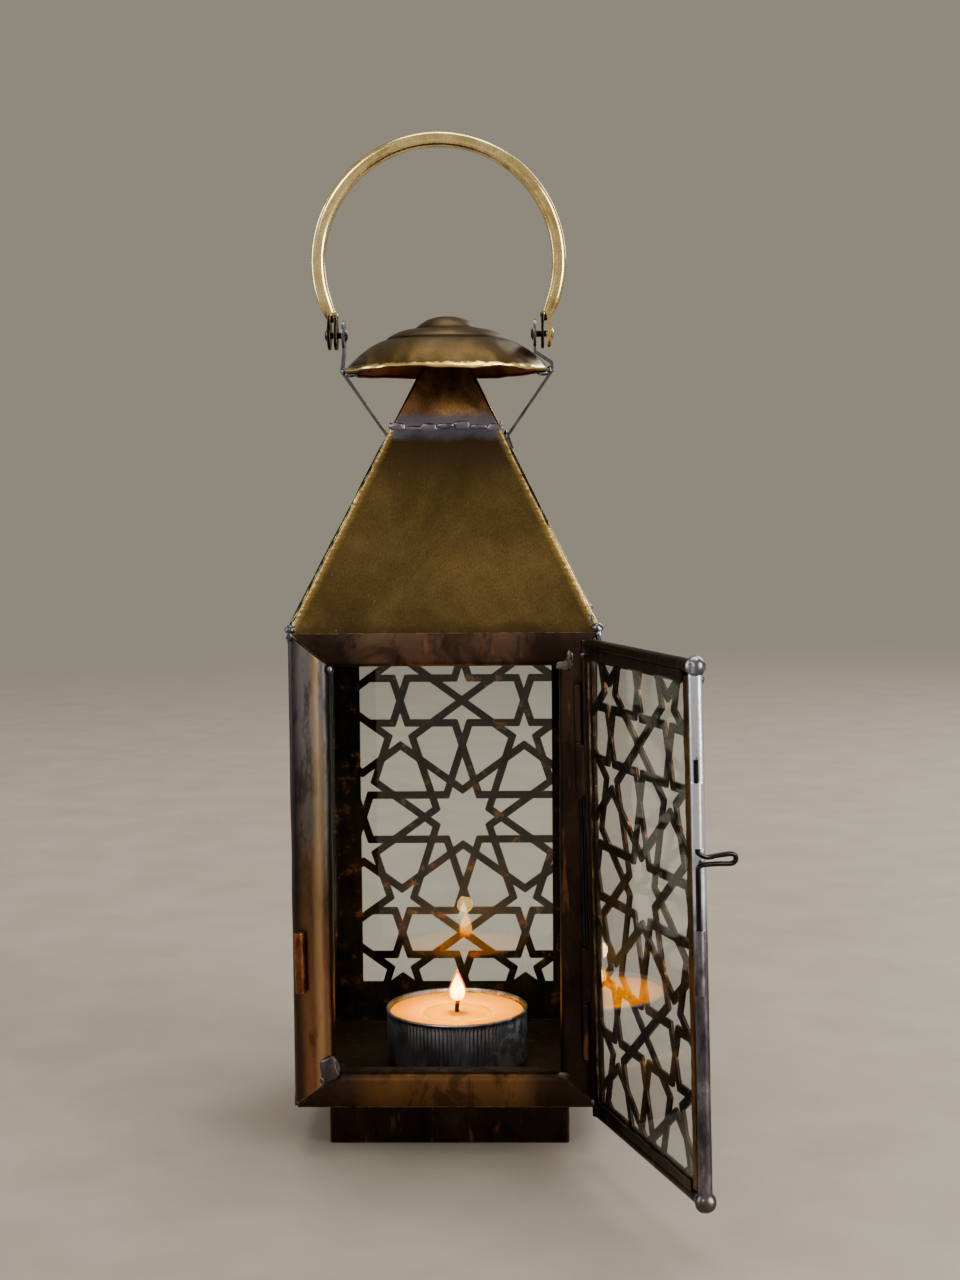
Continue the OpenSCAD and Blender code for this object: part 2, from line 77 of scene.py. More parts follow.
post_low, post_high = mm_box("post_front_left")
floor_low, floor_high = mm_box("floor_plate")
rail_low, rail_high = mm_box("rail_top_front")
plate_low, plate_high = mm_box("chimney_front")
HALF = -post_low.x
Z_BASE, Z_EAVE = post_low.z, post_high.z
POST_W = post_high.x - post_low.x
SHEET = floor_high.z - floor_low.z
RAIL_H = Z_EAVE - rail_low.z
FOLD = rail_high.y + HALF
SHELF = mm_box("rail_bottom_front")[1].y + HALF
Z_NECK = mm_box("roof_front")[1].z
NECK_HALF = -plate_low.y
CHIMNEY_TOP = plate_high.z
CHIMNEY_IN = -plate_high.y + SHEET
CHIMNEY_W0 = plate_high.x   # half width of a chimney plate at its foot
CHIMNEY_W1 = 2.9            # and at its top
CAP_R = mm_box("vent_cap")[1].x - 0.2
Z_RIM = Z_NECK + 15.6
CAP_H = mm_box("vent_cap")[1].z - Z_RIM
CAP_STEPS = ((15.6, 8.2), (8.0, 11.0))  # radius of each step in the dome, and its height over the rim
PIVOT = Vector(joint("handle_swing")["pos_m"]) / MM
HINGE = Vector(joint("door_hinge")["pos_m"]) / MM
LEAF_X = 26.6               # inner face of the handle's inner leaves

DOOR_TURN = math.radians(-joint("door_hinge")["range_deg"][0])
HINGE_LEAN = math.asin(joint("door_hinge")["axis"][0])
OPEN_DOOR = (
    Matrix.Translation(HINGE)
    @ Matrix.Rotation(HINGE_LEAN, 4, "Y")
    @ Matrix.Rotation(DOOR_TURN, 4, "Z")
    @ Matrix.Translation(-HINGE)
)

# The door is drawn closed and then turned, so these are places on the closed door.
TUBE_R = 1.6
STILE_IN = 2.95             # from a stile's middle to its hinge or bolt wire
STILE_OUT = 1.48
BOLT_X = -36.8
DOOR_Y = HINGE.y - STILE_OUT
STILE_HINGE_X = HINGE.x - STILE_IN
STILE_FREE_X = BOLT_X + STILE_IN
DOOR_DROP = 1.2
BAR_LOW, BAR_HIGH = Z_BASE + TUBE_R - DOOR_DROP, Z_EAVE - TUBE_R - DOOR_DROP
BOLT_SLEEVES = ((90.3, 104.2), (58.7, 72.7))
BOLT_R = 0.55
PULL_Z = 87.4               # height of the bolt's hairpin pull
PULL_REACH = 8.6            # how far it stands out from the bolt

CUP_LOW, CUP_HIGH = mm_box("tealight_cup")
CUP = centre("tealight_cup")
CUP_R = (CUP_HIGH.x - CUP_LOW.x) / 2
WAX_TOP = mm_box("candle_wax")[1].z
FLAME_FOOT = mm_box("wick")[1].z - 1.6
FLAME_SPAN = (FLAME_FOOT, FLAME_FOOT + 9.6)
HEAT_TINT = (30, 150)       # heights between which heat has tinted the frame


# ---- shapes: each is (vertices, faces) ----

def merge(*shapes):
    verts, faces = [], []
    for v, f in shapes:
        base = len(verts)
        verts += [Vector(p) for p in v]
        faces += [[i + base for i in face] for face in f]
    return verts, faces


def moved(shape, matrix):
    return [matrix @ Vector(v) for v in shape[0]], shape[1]


def turned(shape, degrees):
    return moved(shape, Matrix.Rotation(math.radians(degrees), 4, "Z"))


def all_round(make):
    """The shapes that make(k) gives for each side k, turned to that side."""
    return [turned(shape, 90 * k) for k in range(4) for shape in make(k)]


def mirrored(shape, axis):
    flip = Matrix.Scale(-1, 4, Vector((1, 0, 0)) if axis == "x" else Vector((0, 1, 0)))
    verts, faces = moved(shape, flip)
    return verts, [f[::-1] for f in faces]


def circle(count, radius=1.0):
    return [(radius * math.cos(TAU * i / count), radius * math.sin(TAU * i / count)) for i in range(count)]


def around(angle, radius, height):
    """A point about the vertical axis."""
    return Vector((radius * math.cos(angle), radius * math.sin(angle), height))


def tube_faces(rings, count):
    """Faces of a capped tube, made of rings of count points each."""
    faces = []
    for a in range(0, (rings - 1) * count, count):
        for i in range(count):
            j = (i + 1) % count
            faces.append([a + i, a + j, a + count + j, a + count + i])
    return faces + [list(range(count))[::-1], [(rings - 1) * count + i for i in range(count)]]


def rough(point, size, amount, seed=0.0):
    """Smooth random number from -amount to amount at a point; size is its grain in millimetres."""
    return amount * noise.noise(Vector(point) / size + Vector((seed, seed * 1.7, -seed)))


def lathe(profile, count=96, place=(0, 0, 0), wobble=None):
    """A closed profile of (radius, height) turned about a vertical axis. Its ends may lie on the axis.

    wobble(angle, radius, height) gives changes to the radius and the height.
    """
    verts, faces, starts = [], [], []
    for r, z in profile:
        ring = []
        for i in range(count):
            a = TAU * i / count
            dr, dz = wobble(a, r, z) if wobble else (0, 0)
            ring.append(Vector(place) + around(a, r + dr, z + dz))
        on_axis = r <= 1e-6
        starts.append((len(verts), on_axis))
        verts += ring[:1] if on_axis else ring
    whole = not (starts[0][1] and starts[-1][1])
    pairs = list(zip(starts, starts[1:])) + ([(starts[-1], starts[0])] if whole else [])
    for (a, a_point), (b, b_point) in pairs:
        for i in range(count):
            j = (i + 1) % count
            if a_point and b_point:
                break
            if a_point:
                faces.append([a, b + j, b + i])
            elif b_point:
                faces.append([a + i, a + j, b])
            else:
                faces.append([a + i, a + j, b + j, b + i])
    return verts, faces


def sweep(path, section, side):
    """A closed section (u, v) along a path; u runs along side, v across both."""
    verts = []
    count = len(path)
    for i, p in enumerate(path):
        along = (path[min(i + 1, count - 1)] - path[max(i - 1, 0)]).normalized()
        axis = Vector(side)
        axis = (axis - along * axis.dot(along)).normalized()
        other = along.cross(axis)
        shape = section(i / (count - 1)) if callable(section) else section
        verts += [p + axis * u + other * v for u, v in shape]
    return verts, tube_faces(count, len(verts) // count)


def smooth_path(points, steps=8):
    """A Catmull-Rom curve through the points."""
    points = [Vector(p) for p in points]
    ends = [2 * points[0] - points[1], *points, 2 * points[-1] - points[-2]]
    path = []
    for a, b, c, d in zip(ends, ends[1:], ends[2:], ends[3:]):
        for k in range(steps):
            t = k / steps
            path.append(0.5 * (
                2 * b + (c - a) * t + (2 * a - 5 * b + 4 * c - d) * t ** 2 + (3 * b - a - 3 * c + d) * t ** 3
            ))
    return path + [points[-1]]


def blob(place, size, seed, lumps=0.16):
    """A lump of set solder: an uneven ball, stretched to size (radii)."""
    bm = bmesh.new()
    bmesh.ops.create_icosphere(bm, subdivisions=3, radius=1)
    verts = []
    for v in bm.verts:
        swell = 1 + lumps * noise.noise(v.co * 1.3 + Vector((seed, 3.1 * seed, 0.7)))
        swell += 0.35 * lumps * noise.noise(v.co * 3.5 + Vector((0.3, seed, seed)))
        verts.append(Vector(place) + Vector([c * s * swell for c, s in zip(v.co, size)]))
    faces = [[v.index for v in f.verts] for f in bm.faces]
    bm.free()
    return verts, faces


def thicken(path, thickness):
    """Closed outline of a sheet: a path of (x, y) points and its copy, offset to the left."""
    inner = []
    for i, p in enumerate(path):
        before = (p - path[i - 1]).normalized() if i else None
        after = (path[i + 1] - p).normalized() if i + 1 < len(path) else None
        sides = [Vector((-d.y, d.x)) for d in (before, after) if d is not None]
        normal = sum(sides, Vector((0, 0))).normalized()
        inner.append(p + normal * (thickness / max(0.5, normal.dot(sides[0]))))
    return path + inner[::-1]


def arc(cx, cy, r, a0, a1, steps=6):
    return [
        Vector((cx + r * math.cos(math.radians(a0 + (a1 - a0) * i / steps)),
                cy + r * math.sin(math.radians(a0 + (a1 - a0) * i / steps))))
        for i in range(steps + 1)
    ]


# ---- objects ----

def add_object(name, data):
    obj = bpy.data.objects.new(name, data)
    bpy.context.scene.collection.objects.link(obj)
    return obj


def build(name, shape, material, body=BODY, stands_for=(), sharp=40, slot=None):
    """A piece in metres, shaded smooth up to an angle, riding on a body."""
    mesh = bpy.data.meshes.new(name)
    mesh.from_pydata([tuple(Vector(v) * MM) for v in shape[0]], [], shape[1])
    bm = bmesh.new()
    bm.from_mesh(mesh)
    bmesh.ops.recalc_face_normals(bm, faces=bm.faces)
    bm.to_mesh(mesh)
    bm.free()
    mesh.shade_smooth()
    mesh.set_sharp_from_angle(angle=math.radians(sharp))
    mesh.materials.append(material)
    obj = add_object(name, mesh)
    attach(obj, body)
    if stands_for:
        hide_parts(*stands_for)
    return obj


def dress(name, material, edge):
    """Gives a CAD node a material and softened edges."""
    obj = frame["nodes"][name]
    obj.data.materials.clear()
    obj.data.materials.append(material)
    obj.modifiers.new("weld", "WELD").merge_threshold = 0.001 * MM
    bevel = obj.modifiers.new("edges", "BEVEL")
    bevel.width = edge * MM
    bevel.segments = 2
    bevel.limit_method = "ANGLE"
    bevel.angle_limit = math.radians(35)
    obj.modifiers.new("normals", "WEIGHTED_NORMAL").keep_sharp = True


# ---- materials: their colours are display values from 0 to 255 ----

def tone(red, green, blue):
    """A colour given in display values, as linear RGBA."""
    def linear(c):
        c /= 255
        return c / 12.92 if c <= 0.04045 else ((c + 0.055) / 1.055) ** 2.4
    return (linear(red), linear(green), linear(blue), 1)


def set_stops(node, stops):
    """Gives a colour ramp its stops of (position, linear colour)."""
    elements = node.color_ramp.elements
    while len(elements) < len(stops):
        elements.new(0.5)
    for element, (position, colour) in zip(elements, stops):
        element.position = position
        element.color = colour


class Surface:
    """A material's node tree, made by short calls that give sockets."""

    def __init__(self, name, shader="BsdfPrincipled"):
        self.material = bpy.data.materials.new(name)
        self.material.use_nodes = True
        self.tree = self.material.node_tree
        self.tree.nodes.clear()
        self.output = self.node("OutputMaterial")
        self.shader = self.node(shader)
        self.feed(self.output.inputs[0], self.shader.outputs[0])
        self.place = self.node("TexCoord").outputs["Object"]
        self.normal = self.node("NewGeometry").outputs["Normal"]

    def feed(self, socket, value):
        if isinstance(value, bpy.types.NodeSocket):
            self.tree.links.new(value, socket)
        else:
            socket.default_value = value

    def node(self, kind, inputs=None):
        """A new node, with its inputs fed by number or name."""
        node = self.tree.nodes.new("ShaderNode" + kind)
        for key, value in (inputs or {}).items():
            self.feed(node.inputs[key], value)
        return node

    def set(self, inputs):
        """Feeds the shader's own inputs by name."""
        for key, value in inputs.items():
            self.feed(self.shader.inputs[key], value)

    def math(self, operation, a, b=0.0, clamp=False):
        node = self.node("Math", {0: a, 1: b})
        node.operation = operation
        node.use_clamp = clamp
        return node.outputs[0]

    def times(self, a, b, clamp=False):
        return self.math("MULTIPLY", a, b, clamp)

    def axis(self, letter):
        return self.node("SeparateXYZ", {0: self.place}).outputs[letter]

    def from_middle(self, letter):
        return self.math("ABSOLUTE", self.axis(letter))

    def off_diagonal(self):
        """Distance from the upright planes through the lantern's corners, times the root of two."""
        return self.math("ABSOLUTE", self.math("SUBTRACT", self.from_middle("X"), self.from_middle("Y")))

    def normal_height(self):
        """Height of the surface's normal: -1 where a face looks down."""
        return self.node("SeparateXYZ", {0: self.normal}).outputs["Z"]

    def noise(self, grain, detail=4, hard=0.55, stretch=(1, 1, 1), warp=0.0):
        """Noise from 0 to 1 whose features are about grain millimetres; stretch lengthens them by axis."""
        place = self.node("Mapping", {"Vector": self.place, "Scale": [1 / s for s in stretch]})
        return self.node("TexNoise", {
            "Vector": place.outputs[0], "Scale": 1 / (grain * MM),
            "Detail": detail, "Roughness": hard, "Distortion": warp,
        }).outputs[0]

    def band(self, value, start, end, low=0.0, high=1.0):
        """Smooth step of value, from low at start to high at end."""
        if start > end:
            start, end, low, high = end, start, high, low
        node = self.node("MapRange", {
            "Value": value, "From Min": start, "From Max": end, "To Min": low, "To Max": high})
        node.interpolation_type = "SMOOTHSTEP"
        return node.outputs["Result"]

    def zone(self, value, start, end, low=0.0, high=1.0):
        """A band whose start and end are in millimetres."""
        return self.band(value, start * MM, end * MM, low, high)

    def patches(self, grain, start, end, amount=1.0, **how):
        """Scattered patches, where noise passes from start to end."""
        return self.band(self.noise(grain, **how), start, end, 0, amount)

    def ragged(self, value, reach, grain, **how):
        """A length made uneven by noise of up to reach millimetres."""
        return self.math("ADD", value, self.times(self.noise(grain, **how), reach * MM))

    def ramp(self, value, *stops):
        node = self.node("ValToRGB", {0: value})
        set_stops(node, stops)
        return node.outputs[0]

    def mix(self, share, a, b, blend="MIX"):
        node = self.node("Mix")
        node.data_type = "RGBA"
        node.blend_type = blend
        for key, value in ((0, share), (6, a), (7, b)):
            self.feed(node.inputs[key], value)
        return node.outputs[2]

    def blend(self, share, a, b):
        return self.node("Mix", {0: share, 2: a, 3: b}).outputs[0]

    def edges(self, radius):
        """Near 1 at the piece's sharp edges, 0 on its faces."""
        bevel = self.node("Bevel", {"Radius": radius * MM})
        bevel.samples = 4
        dot = self.node("VectorMath", {0: bevel.outputs[0], 1: self.normal})
        dot.operation = "DOT_PRODUCT"
        return self.band(dot.outputs["Value"], 0.99, 0.86)

    def bump(self, height, depth):
        """depth is the height of the relief in millimetres."""
        node = self.node("Bump", {"Strength": 1.0, "Distance": depth * MM, "Height": height})
        self.set({"Normal": node.outputs[0]})

    def see_through(self, share, tint=(1, 1, 1, 1)):
        """Shows what is behind, as much as share says."""
        clear = self.node("BsdfTransparent", {0: tint})
        mix = self.node("MixShader", {0: share, 1: self.shader.outputs[0], 2: clear.outputs[0]})
        self.feed(self.output.inputs[0], mix.outputs[0])


class Metal(Surface):
    """Aged sheet metal: patina clouds, rolling streaks, fine grain, worn edges."""

    def __init__(self, name, dark, mid, light, gloss, stretch=(1, 1, 6), cloud=16, grain=0.5):
        super().__init__(name)
        dark, mid, light = tone(*dark), tone(*mid), tone(*light)
        clouds = self.noise(cloud, detail=6, hard=0.6, stretch=(1, 1, 1.6), warp=0.6)
        streaks = self.noise(grain, detail=3, stretch=stretch)
        shade = self.ramp(streaks, (0.25, (0.72, 0.72, 0.72, 1)), (0.75, (1.22, 1.22, 1.22, 1)))
        self.colour = self.ramp(clouds, (0.34, dark), (0.52, mid), (0.68, light))
        self.colour = self.mix(1.0, self.colour, shade, "MULTIPLY")
        self.colour = self.mix(self.patches(3.2, 0.62, 0.72, 0.4, detail=5, hard=0.7), self.colour, dark)
        self.rough = self.blend(self.noise(5, detail=5), *gloss)
        self.relief = self.math("ADD", self.times(streaks, 0.35), self.noise(1.8, detail=5))
        self.depth = 0.05
        self.set({"Metallic": 1.0})

    def layer(self, share, colour, gloss=None):
        """Lays another tone over the metal where share is high."""
        self.colour = self.mix(share, self.colour, tone(*colour))
        if gloss is not None:
            self.rough = self.blend(share, self.rough, gloss)

    def wear(self, colour, amount, radius):
        """Rubs the sharp edges through to bright metal, unevenly."""
        uneven = self.patches(2.5, 0.35, 0.6)
        self.layer(self.times(self.times(self.edges(radius), uneven), amount, clamp=True), colour, 0.25)

    def zones(self, length, *rows):
        """Layers over stretches of a length: rows of start, end, amount, colour and, if it changes, gloss."""
        for start, end, amount, *look in rows:
            self.layer(self.zone(length, start, end, 0, amount), *look)

    def close(self):
        self.set({"Base Color": self.colour, "Roughness": self.rough})
        self.bump(self.relief, self.depth)
        return self.material


BRIGHT = (226, 196, 132)


def plain_metal(name, dark, mid, light, depth=0.05, worn=None, **how):
    s = Metal(name, dark, mid, light, **how)
    s.depth = depth
    if worn:
        s.wear(*worn)
    return s.close()


def roof_material():
    s = Metal("roof_brass", (84, 70, 46), (102, 86, 56), (120, 101, 66),
              gloss=(0.36, 0.5), stretch=(1, 1, 9), cloud=26, grain=0.3)
    top = Z_NECK - 0.5
    s.zones(s.ragged(s.axis("Z"), 5, 5, detail=5),
            (top - 16, top, 0.75, (66, 52, 40)),
            (top - 0.5, top + 2.5, 1, (104, 105, 118), 0.42),
            (Z_EAVE + 6, Z_EAVE + 2, 0.5, (52, 38, 28)))
    s.zones(s.ragged(s.off_diagonal(), 1.9, 0.7, detail=5, stretch=(5, 5, 1)),
            (3.4, 1.6, 0.7, (170, 142, 86), 0.34),
            (1.9, 1.3, 1, (246, 228, 176), 0.3))
    s.layer(s.patches(0.6, 0.80, 0.83, 0.9, detail=1), (230, 214, 170), 0.2)
    s.depth = 0.02
    return s.close()


def chimney_material():
    s = Metal("chimney_patina", (112, 84, 60), (160, 124, 88), (206, 164, 112), gloss=(0.44, 0.56), cloud=9)
    s.zones(s.ragged(s.axis("Z"), 3, 3, detail=5),
            (Z_NECK + 6.5, Z_NECK + 3.8, 0.85, (132, 132, 146), 0.42),
            (CHIMNEY_TOP - 4, CHIMNEY_TOP, 1, (140, 140, 152), 0.4))
    s.zones(s.ragged(s.off_diagonal(), 0.9, 0.8), (1.3, 0.8, 1, (224, 198, 132), 0.26))
    return s.close()


def frame_material(name, low, middle, high, gloss=(0.28, 0.44), worn=BRIGHT, amount=0.5, face_tone=None):
    """Frame sheet whose patina changes with height, as heat from the flame colours it.

    For a post, face_tone adds painted shade at its outer corner and at the end of its inner roll, and a
    painted highlight along the crest of its rolled face; for a rail, it makes the rail darker towards its
    ends, with dark blotches.
    """
    s = Metal(name, (46, 38, 34), (88, 70, 54), (124, 100, 74), gloss)
    height = s.ragged(s.axis("Z"), 42, 9, detail=5, warp=0.8)
    tint = s.ramp(s.zone(height, *HEAT_TINT), (0.05, tone(*low)), (0.5, tone(*middle)), (0.95, tone(*high)))
    s.colour = s.mix(0.7, s.colour, tint)
    s.layer(s.patches(5, 0.53, 0.64, 0.6, detail=6, hard=0.65, stretch=(1, 1, 3.5)), (50, 40, 38), 0.5)
    s.layer(s.patches(3.5, 0.6, 0.7, 0.4, stretch=(1, 1, 5)), (170, 116, 84), 0.32)
    drift = s.times(s.math("SUBTRACT", s.noise(6, detail=5, stretch=(1, 1, 3)), 0.5), 3 * MM)
    inset = s.math("ADD", s.math("MINIMUM", s.from_middle("X"), s.from_middle("Y")), drift)
    if face_tone == "post":
        # painted shade at the outer corner and at the inner roll's end, then a painted highlight on the crest
        s.zones(inset,
                (HALF - 4.2, HALF - 1.2, 0.8, (40, 36, 38), 0.4),
                (HALF - 8.6, HALF - 9.8, 0.85, (44, 34, 30), 0.4))
        crest_highlight = s.times(s.zone(inset, HALF - 5.2, HALF - 6.6), s.zone(inset, HALF - 8.8, HALF - 7.6, 0, 0.4))
        s.layer(crest_highlight, (196, 164, 124), 0.3)
    elif face_tone == "rail":
        # darker towards the rail's ends
        end = HALF - POST_W
        s.zones(inset, (end - 12, end - 3, 0.75, (46, 42, 44), 0.42))
        s.layer(s.patches(13, 0.46, 0.6, 0.65, detail=5, hard=0.6, warp=0.8), (56, 42, 36), 0.42)
    s.wear(worn, amount, 0.4)
    return s.close()


def strapwork_material():
    s = Metal("strapwork_patina", (28, 25, 24), (46, 40, 36), (68, 54, 44),
              gloss=(0.36, 0.52), stretch=(1, 1, 1), cloud=6, grain=0.3)
    s.layer(s.patches(4.2, 0.56, 0.67, 0.8, detail=5, hard=0.7), (158, 104, 70), 0.3)
    s.layer(s.patches(1.6, 0.66, 0.74, 0.6), (190, 146, 84), 0.28)
    s.wear((150, 116, 84), 0.8, 0.25)
    return s.close()


def cap_material():
    s = Metal("cap_brass", (62, 50, 32), (84, 68, 42), (108, 88, 56),
              gloss=(0.32, 0.46), stretch=(1, 1, 1), cloud=14, grain=0.35)
    z = s.axis("Z")
    under = s.band(s.normal_height(), 0.05, -0.25)
    s.layer(under, (118, 74, 42), 0.4)
    s.layer(s.times(under, s.patches(7, 0.5, 0.66, 0.85, detail=5)), (46, 34, 32), 0.5)
    # painted highlight along the top of the rim
    rim = s.zone(s.ragged(z, 1.6, 2), Z_RIM + 1.6, Z_RIM + 0.9)
    s.layer(s.times(rim, s.math("SUBTRACT", 1.0, under)), (232, 206, 140), 0.22)
    # painted shade in the crease at each step of the dome
    for (_, step), deep in zip(CAP_STEPS, (0.9, 0.8)):
        off = s.math("ABSOLUTE", s.math("SUBTRACT", z, (Z_RIM + step - 0.35) * MM))
        s.layer(s.zone(off, 0.55, 0.15, 0, deep), (30, 24, 20), 0.5)
    return s.close()


def handle_material():
    s = Metal("handle_brass", (196, 174, 120), (224, 204, 150), (244, 228, 184),
              gloss=(0.12, 0.24), stretch=(1, 1, 1), cloud=10, grain=0.4)
    s.layer(s.patches(6, 0.52, 0.68, 0.5, detail=5), (110, 78, 48), 0.35)
    # painted shade on the handle's lower leaves, all but the right outer leaf
    low = s.zone(s.axis("Z"), PIVOT.z + 6.5, PIVOT.z + 4.5)
    inner = PIVOT.x + LEAF_X
    s.layer(s.times(low, s.zone(s.axis("X"), inner + 1.6, inner + 1.2)), (34, 30, 27), 0.36)
    s.wear((240, 222, 164), 0.9, 0.4)
    s.depth = 0.02
    return s.close()


def wire_material():
    s = Metal("black_wire", (20, 20, 22), (28, 28, 31), (40, 40, 44), gloss=(0.22, 0.34), cloud=4)
    s.set({"Coat Weight": 0.5, "Coat Roughness": 0.12})
    return s.close()


def door_tube_material():
    """Lighter over its upper half, where it is tinned and carries a painted highlight; darker below."""
    s = Metal("door_tube", (78, 74, 80), (108, 104, 112), (150, 146, 156), gloss=(0.22, 0.36), cloud=7)
    # tin and a painted highlight over the upper stretch
    s.zones(s.ragged(s.axis("Z"), 40, 7, detail=5), (84, 112, 1, (216, 222, 234), 0.26))
    s.layer(s.patches(5, 0.54, 0.64, 0.6, detail=6, hard=0.7, stretch=(1, 1, 3)), (60, 56, 60), 0.4)
    return s.close()


def cup_material():
    s = Metal("cup_foil", (140, 140, 148), (184, 184, 194), (216, 216, 228),
              gloss=(0.26, 0.4), stretch=(1, 1, 8), cloud=12, grain=0.5)
    # painted highlight on the cup's right side, broken up by noise
    cup_highlight = s.times(s.patches(4, 0.46, 0.58, 0.8, warp=1.2), s.zone(s.axis("X"), CUP.x + 5, CUP.x + 11))
    s.layer(cup_highlight, (246, 246, 255), 0.34)
    s.depth = 0.02
    return s.close()


def wax_material(name, colour, gloss, deep):
    s = Surface(name)
    s.set({
        "Base Color": s.ramp(s.noise(7), (0.3, tone(*deep)), (0.7, tone(*colour))),
        "Roughness": s.blend(s.noise(3), gloss, gloss + 0.15),
        "Subsurface Weight": 0.7,
        "Subsurface Radius": (1.0, 0.5, 0.25),
        "Subsurface Scale": 6 * MM,
    })
    s.bump(s.noise(2.5, detail=3), 0.04)
    return s.material


def wick_material():
    s = Surface("wick_char")
    char = s.ramp(s.noise(0.4), (0.3, tone(10, 8, 8)), (0.7, tone(46, 34, 28)))
    s.set({"Base Color": char, "Roughness": 0.9})
    s.bump(s.noise(0.3), 0.1)
    return s.material


def flame_material(name, strength, clear, *stops):
    """Light whose colour changes with height in the flame; clear is how much shows through, low and high."""
    s = Surface(name, "Emission")
    level = s.zone(s.axis("Z"), *FLAME_SPAN)
    s.set({"Color": s.ramp(level, *((at, tone(*colour)) for at, colour in stops)), "Strength": strength})
    s.see_through(s.blend(level, *clear))
    return s.material


def glass_material(name, tint, dirt):
    """Clear pane, lightly smeared; lamps' light passes straight through it."""
    s = Surface(name)
    smear = s.patches(11, 0.52, 0.75, dirt, detail=6, hard=0.65, stretch=(1, 1, 2))
    s.set({"Base Color": tint, "Roughness": smear, "IOR": 1.5, "Transmission Weight": 1.0})
    s.see_through(s.node("LightPath").outputs["Is Shadow Ray"], tint)
    return s.material


roof_brass = roof_material()
chimney_patina = chimney_material()
post_patina = frame_material("post_patina", (156, 112, 84), (104, 88, 66), (148, 148, 154),
                             gloss=(0.3, 0.42), face_tone="post")
rail_low_patina = frame_material("rail_low_patina", (128, 94, 62), (96, 74, 56), (100, 84, 72), face_tone="rail")
rail_high_patina = frame_material("rail_high_patina", (140, 98, 76), (120, 92, 76), (126, 102, 88),
                                  face_tone="rail")
# dark frame patina; on the hinge post it is painted shade
dark_patina_and_shade = frame_material("dark_patina_and_shade", (40, 30, 34), (52, 40, 36), (52, 44, 48), amount=0.3)
floor_patina = frame_material("floor_patina", (72, 52, 38), (66, 50, 40), (58, 48, 42),
                              gloss=(0.45, 0.6), amount=0.3)
solder_dark = frame_material("solder_dark", (104, 104, 110), (96, 96, 104), (120, 122, 130),
                             gloss=(0.24, 0.42), worn=(196, 198, 204), amount=0.4)
neck_tin = frame_material("neck_tin", (128, 128, 142), (128, 128, 142), (134, 134, 148),
                          gloss=(0.3, 0.5), worn=(200, 202, 208), amount=0.3)
strapwork = strapwork_material()
cap_brass = cap_material()
handle_brass = handle_material()
solder = plain_metal("solder", (70, 70, 78), (128, 130, 138), (184, 188, 194), depth=0.1,
                     gloss=(0.2, 0.38), stretch=(1, 1, 1), cloud=2.0, grain=0.4)
keeper_copper = plain_metal("keeper_copper", (78, 48, 36), (128, 82, 58), (164, 112, 80),
                            worn=((214, 164, 118), 1.0, 0.4), gloss=(0.3, 0.42), cloud=3)
door_lip = plain_metal("door_lip", (48, 38, 30), (104, 80, 48), (150, 116, 70),
                       worn=((176, 142, 84), 0.6, 0.3), gloss=(0.36, 0.5), cloud=8)
black_wire = wire_material()
door_tube = door_tube_material()
cup_foil = cup_material()
wax = wax_material("wax", (248, 178, 56), 0.3, (240, 158, 34))
wax_melt = wax_material("wax_melt", (255, 176, 30), 0.05, (250, 156, 22))
wick_char = wick_material()
flame_core = flame_material("flame_core", 15.0, (0.3, 0.05), (0.0, (255, 110, 20)), (0.3, (255, 190, 90)),
                            (0.75, (255, 170, 60)), (1.0, (255, 120, 20)))
flame_glow = flame_material("flame_glow", 3.0, (0.85, 0.7), (0.0, (255, 110, 40)), (0.5, (255, 150, 60)),
                            (1.0, (255, 120, 30)))
wall_glass = glass_material("wall_glass", (0.84, 0.90, 0.87, 1), 0.12)
pane_glass = glass_material("door_pane", (0.93, 0.97, 0.95, 1), 0.10)


# ---- frame: posts and rails rolled from sheet ----

ROLL = 2.4          # radius of a rolled inner edge
CORNER = 2.2        # radius of a post's outer corner
CROWN = 0.8         # how far a rolled face stands proud in its middle
HINGE_CROWN = 0.25  # the same on the post that carries the hinges
MITRE_GAP = 0.42
FACE_STEPS = 10
RINGS = 36


def rolled_face(start, end, crown):
    """Points from start to end, bulging to the right."""
    run = end - start
    out = Vector((run.y, -run.x)).normalized()
    return [
        start + run * (i / FACE_STEPS) + out * crown * math.sin(math.pi * i / FACE_STEPS)
        for i in range(1, FACE_STEPS)
    ]


def post_section(fold, crown):
    """Sheet section of a post; the corner is at (0, 0) and both faces run along the positive axes."""
    w = POST_W
    roll = ROLL if fold else 0.3
    side = arc(CORNER, CORNER, CORNER, 180, 270)
    front_edge = arc(w - roll, roll, roll, 270, 360)
    path = [Vector((0, w))]
    path += rolled_face(Vector((0, w)), side[0], crown * 0.5)
    path += side
    path += rolled_face(side[-1], front_edge[0], crown if fold else crown * 0.5)
    path += front_edge
    if fold:
        path += [Vector((w, roll + (fold - roll) * k / 3)) for k in (1, 2, 3)]
    return thicken(path, SHEET)


def post(fold, seed, crown=CROWN):
    """Post with its corner at (-HALF, -HALF), mitred to the rails at both ends."""
    section = post_section(fold, crown)
    verts = []
    for k in range(RINGS):
        t = k / (RINGS - 1)
        for p in section:
            cut = min(max(p.x, p.y, 0), POST_W) / POST_W * RAIL_H
            z = Z_BASE + cut + t * (Z_EAVE - Z_BASE - 2 * cut)
            dent = rough((p.x, p.y, z), 14, 0.16, seed) * math.sin(math.pi * t)
            verts.append(Vector((-HALF + p.x + dent, -HALF + p.y - dent, z)))
    return verts, tube_faces(RINGS, len(section))


def rail_section(depth):
    """Sheet section of a rail, (depth inwards, distance from its outer edge); rolled if it has depth."""
    roll = ROLL if depth else 0.3
    turn = arc(roll, RAIL_H - roll, roll, 180, 90)
    path = [Vector((0, 0))]
    path += rolled_face(Vector((0, 0)), turn[0], -CROWN * 0.4)
    path += turn
    if depth:
        path += [Vector((roll + (depth - roll) * k / 3, RAIL_H)) for k in (1, 2, 3)]
    return thicken(path, -SHEET)


